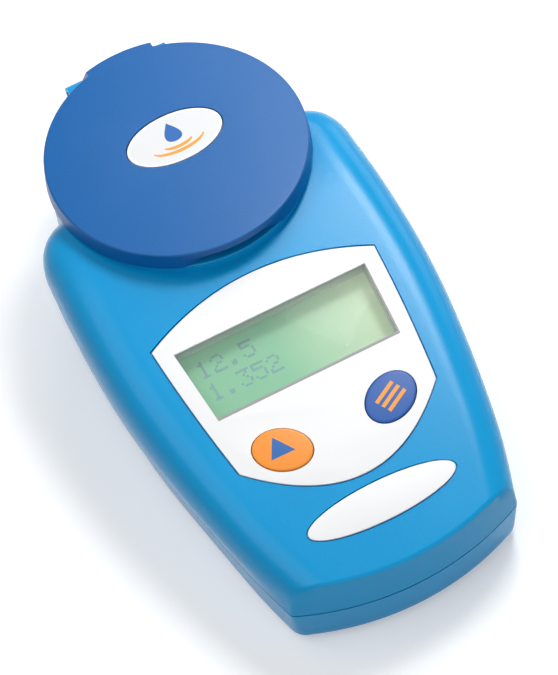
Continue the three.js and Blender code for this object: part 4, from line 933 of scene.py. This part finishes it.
# Measuring prism: hard optical glass. Its round neck is the floor of the well, ground flat and flush with
# it, and the body below has the two slanting faces that let the light in and out.
prism_neck, prism_body_half, prism_body_top, prism_body_low, prism_body_height = 3.3, 5.6, 7.5, 3.5, 7.0
prism_body_z = dish_floor - prism_neck
prism_foot_z = prism_body_z - prism_body_height
measuring_prism = turned("measuring_prism_glass", [
    (prism_radius, prism_body_z - overlap), (prism_radius, dish_floor - neck_edge),
    (prism_radius - neck_edge, dish_floor)], 96)
prism_side = [(-prism_body_low, prism_foot_z), (prism_body_low, prism_foot_z), (prism_body_top, prism_body_z),
              (-prism_body_top, prism_body_z)]
prism_ends = [(x, prism_side) for x in (-prism_body_half, prism_body_half)]
carve(measuring_prism, crosswise("prism_body", prism_ends), "UNION")
prism_glass, tree, shader, place = new_material("prism_glass")
_, gloss = mottled(tree, place, 300, 0.02, 0.07)
feed(shader, {"Base Color": linear((200, 214, 226)), "IOR": 1.76, "Transmission Weight": 0.35,
              "Roughness": gloss})
finish(measuring_prism, "case", prism_glass, "measuring_prism")

# Lid seal: a soft black ring in the lid's groove, with a lip that narrows to a flat of half its width. The
# lip ends a small gap above the dish's flange.
seal_top, seal_lip, lip_edge = lid_under + seal_groove - fit_gap, head_top + fit_gap, 0.12
seal_half, lip_half = seal_width / 2, seal_width / 4
lid_seal = turned("lid_seal_ring", [
    (seal_radius - lip_half, seal_lip + lip_edge), (seal_radius - lip_half + lip_edge, seal_lip),
    (seal_radius + lip_half - lip_edge, seal_lip), (seal_radius + lip_half, seal_lip + lip_edge),
    (seal_radius + seal_half, seal_lip + seal_half), (seal_radius + seal_half, seal_top),
    (seal_radius - seal_half, seal_top), (seal_radius - seal_half, seal_lip + seal_half)], 160, ring=True)
rubber = moulded_plastic("seal_rubber_black", (42, 44, 48), 0.75, sheen=0.3, grain=0.03)
finish(lid_seal, "lid", rubber, "lid_seal")

# Hinge pin: a ground steel rod through the lid's knuckle and the two lugs, with small chamfers at its ends.
# It stays with the case while the lid turns on it.
pin_half, pin_chamfer = knuckle_half + running_gap + lug_thickness - 0.4, 0.2
hinge_pin = crosswise("hinge_pin_rod", [
    (x, arc(hinge_y, hinge_height, radius, 0, 360, 40)[:-1])
    for x, radius in ((-pin_half, pin_radius - pin_chamfer), (-pin_half + pin_chamfer, pin_radius),
                      (pin_half - pin_chamfer, pin_radius), (pin_half, pin_radius - pin_chamfer))])
ground_steel = bright_metal("ground_steel", (196, 200, 205), 0.25, scale=1500.0)
finish(hinge_pin, "case", ground_steel, "hinge_pin")

# Feet: four soft rubber discs stuck into their seats, the lower edge chamfered. They hold the shell a little
# above the bench.
foot_top, foot_edge = shell_base + foot_sink - fit_gap, 0.5
foot_profile = [(foot_radius - foot_edge, 0), (foot_radius - 0.15, foot_edge - 0.22),
                (foot_radius, foot_edge), (foot_radius, foot_top)]
for i, spot in enumerate(foot_places, 1):
    finish(turned(f"rubber_foot_{i}", foot_profile, 64, spot), "case", rubber, f"foot_{i}")

# Case screws: pan-head steel screws driven up from below, each with a cross recess and a plain shank. They
# pass through the lower shell's wells into the upper shell's bosses.
screw_radius, screw_head_radius, screw_head_height, screw_length, screw_seat = 1.0, 2.0, 1.4, 12.0, 4.0
cross_length, cross_width, cross_depth, screw_point, point_length = 2.2, 0.45, 1.2, 0.1, 1
screw_steel = bright_metal("screw_steel", (170, 174, 180), 0.3, scale=700.0)
head_round = arc(screw_head_radius - screw_head_height / 2, screw_seat - screw_head_height / 2,
                 screw_head_height / 2, -90, 0, 6).tolist()
screw_profile = head_round + [(screw_head_radius, screw_seat), (screw_radius, screw_seat),
                              (screw_radius, screw_seat + screw_length),
                              (screw_point, screw_seat + screw_length + point_length)]
for i, spot in enumerate(screw_places, 1):
    screw = turned(f"case_screw_steel_{i}", screw_profile, 40, spot)
    for width, length in ((cross_width, cross_length), (cross_length, cross_width)):
        carve(screw, block("cross", *spot, screw_seat - screw_head_height, width, length, cross_depth))
    finish(screw, "case", screw_steel, f"case_screw_{i}")

# Cells: two AAA cells head to tail, each a steel can with a plain shrunk-on sleeve, rolled ends and a raised
# terminal. They have no lettering.
cell_radius, cell_half, nub_radius, nub_length, can_band = 5.25, 21.65, 1.9, 1.1, 0.4
cell_profile = [(-cell_half, 3.9), (-cell_half, 4.6), (-cell_half + 0.12, 5.0),
                (-cell_half + 0.5, cell_radius), (cell_half - 0.5, cell_radius),
                (cell_half - 0.12, 5.0), (cell_half, 4.6), (cell_half, nub_radius + 0.7),
                (cell_half - 0.25, nub_radius + 0.4), (cell_half - 0.25, nub_radius),
                (cell_half + nub_length - 0.25, nub_radius), (cell_half + nub_length, nub_radius - 0.25)]
sleeve = moulded_plastic("cell_sleeve", (92, 98, 108), 0.3, grain=0.004)
can_steel = bright_metal("cell_can_steel", (190, 192, 196), 0.22)
for name, side in (("cell_left", -1), ("cell_right", 1)):
    cell_x, _, cell_z = middle_of(name)
    rings = []
    for along, radius in cell_profile:
        ring = arc(cell_x, cell_z, radius, 0, 360, 72)[:-1][::-side]
        rings.append(np.column_stack([ring[:, 0], np.full(72, bay_y + side * along), ring[:, 1]]))
    cell = loft(f"{name}_can", placed(rings))
    finish(cell, "case", sleeve, name)
    cell.data.materials.append(can_steel)
    face_y = np.array([polygon.center.y for polygon in cell.data.polygons]) * 1000 - well_axis_y - bay_y
    bare = np.abs(face_y) > cell_half - can_band
    cell.data.polygons.foreach_set("material_index", bare.astype(np.int32))

# Contact springs: one conical helix of steel wire from each contact to its cell's flat end. The wire is round
# and narrows its coils towards the cell.
spring_turns, spring_wire, spring_wide, spring_taper = 4, 0.35, 2.6, 1.0
turn = np.linspace(0, 2 * np.pi * spring_turns, 36 * spring_turns + 1)
share = turn / turn[-1]
out = np.stack([np.cos(turn), np.zeros_like(turn), np.sin(turn)], -1)
wire_angle = np.linspace(0, 2 * np.pi, 10, endpoint=False)
for name, way in (("spring_left", -1), ("spring_right", 1)):
    low, high = (np.array(corner) * 1000 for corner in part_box(name))
    room = high[1] - low[1] - 2 * spring_wire
    radius = spring_wide - spring_taper * share
    start_y = (low[1] + spring_wire if way > 0 else high[1] - spring_wire) - well_axis_y
    line = np.stack([(low[0] + high[0]) / 2 + radius * np.cos(turn), start_y + way * room * share,
                     cell_z + radius * np.sin(turn)], -1)
    along = np.gradient(line, axis=0)
    along /= np.linalg.norm(along, axis=1)[:, None]
    outward = out - along * (out * along).sum(1)[:, None]
    outward /= np.linalg.norm(outward, axis=1)[:, None]
    wire = (outward[:, None] * np.cos(wire_angle)[:, None]
            + np.cross(along, outward)[:, None] * np.sin(wire_angle)[:, None]) * spring_wire
    finish(loft(f"contact_{name}", placed(line[:, None] + wire)), "case", turned_steel, name)

# Inner pieces that keep their solids: the optics, boards, switches and contacts. They lie inside the closed
# case, so a plain finish with its own grain is all that they show.
for slot, names, material in (
        ("seal_rubber", ("prism_seal",), rubber),
        ("black_plastic", ("optics_block", "image_sensor", "start_switch", "menu_switch", "processor"),
         moulded_plastic("inner_black_plastic", (36, 37, 40), 0.5)),
        ("white_plastic", ("lamp_housing", "display_backlight", "flat_cable"),
         moulded_plastic("inner_white_plastic", (232, 233, 232), 0.45)),
        ("board_green", ("sensor_board", "main_board"),
         moulded_plastic("board_green_lacquer", (30, 104, 66), 0.35)),
        ("steel", ("contact_bridge", "contact_left", "contact_right"), turned_steel)):
    for name in names:
        dress(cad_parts[name], material)
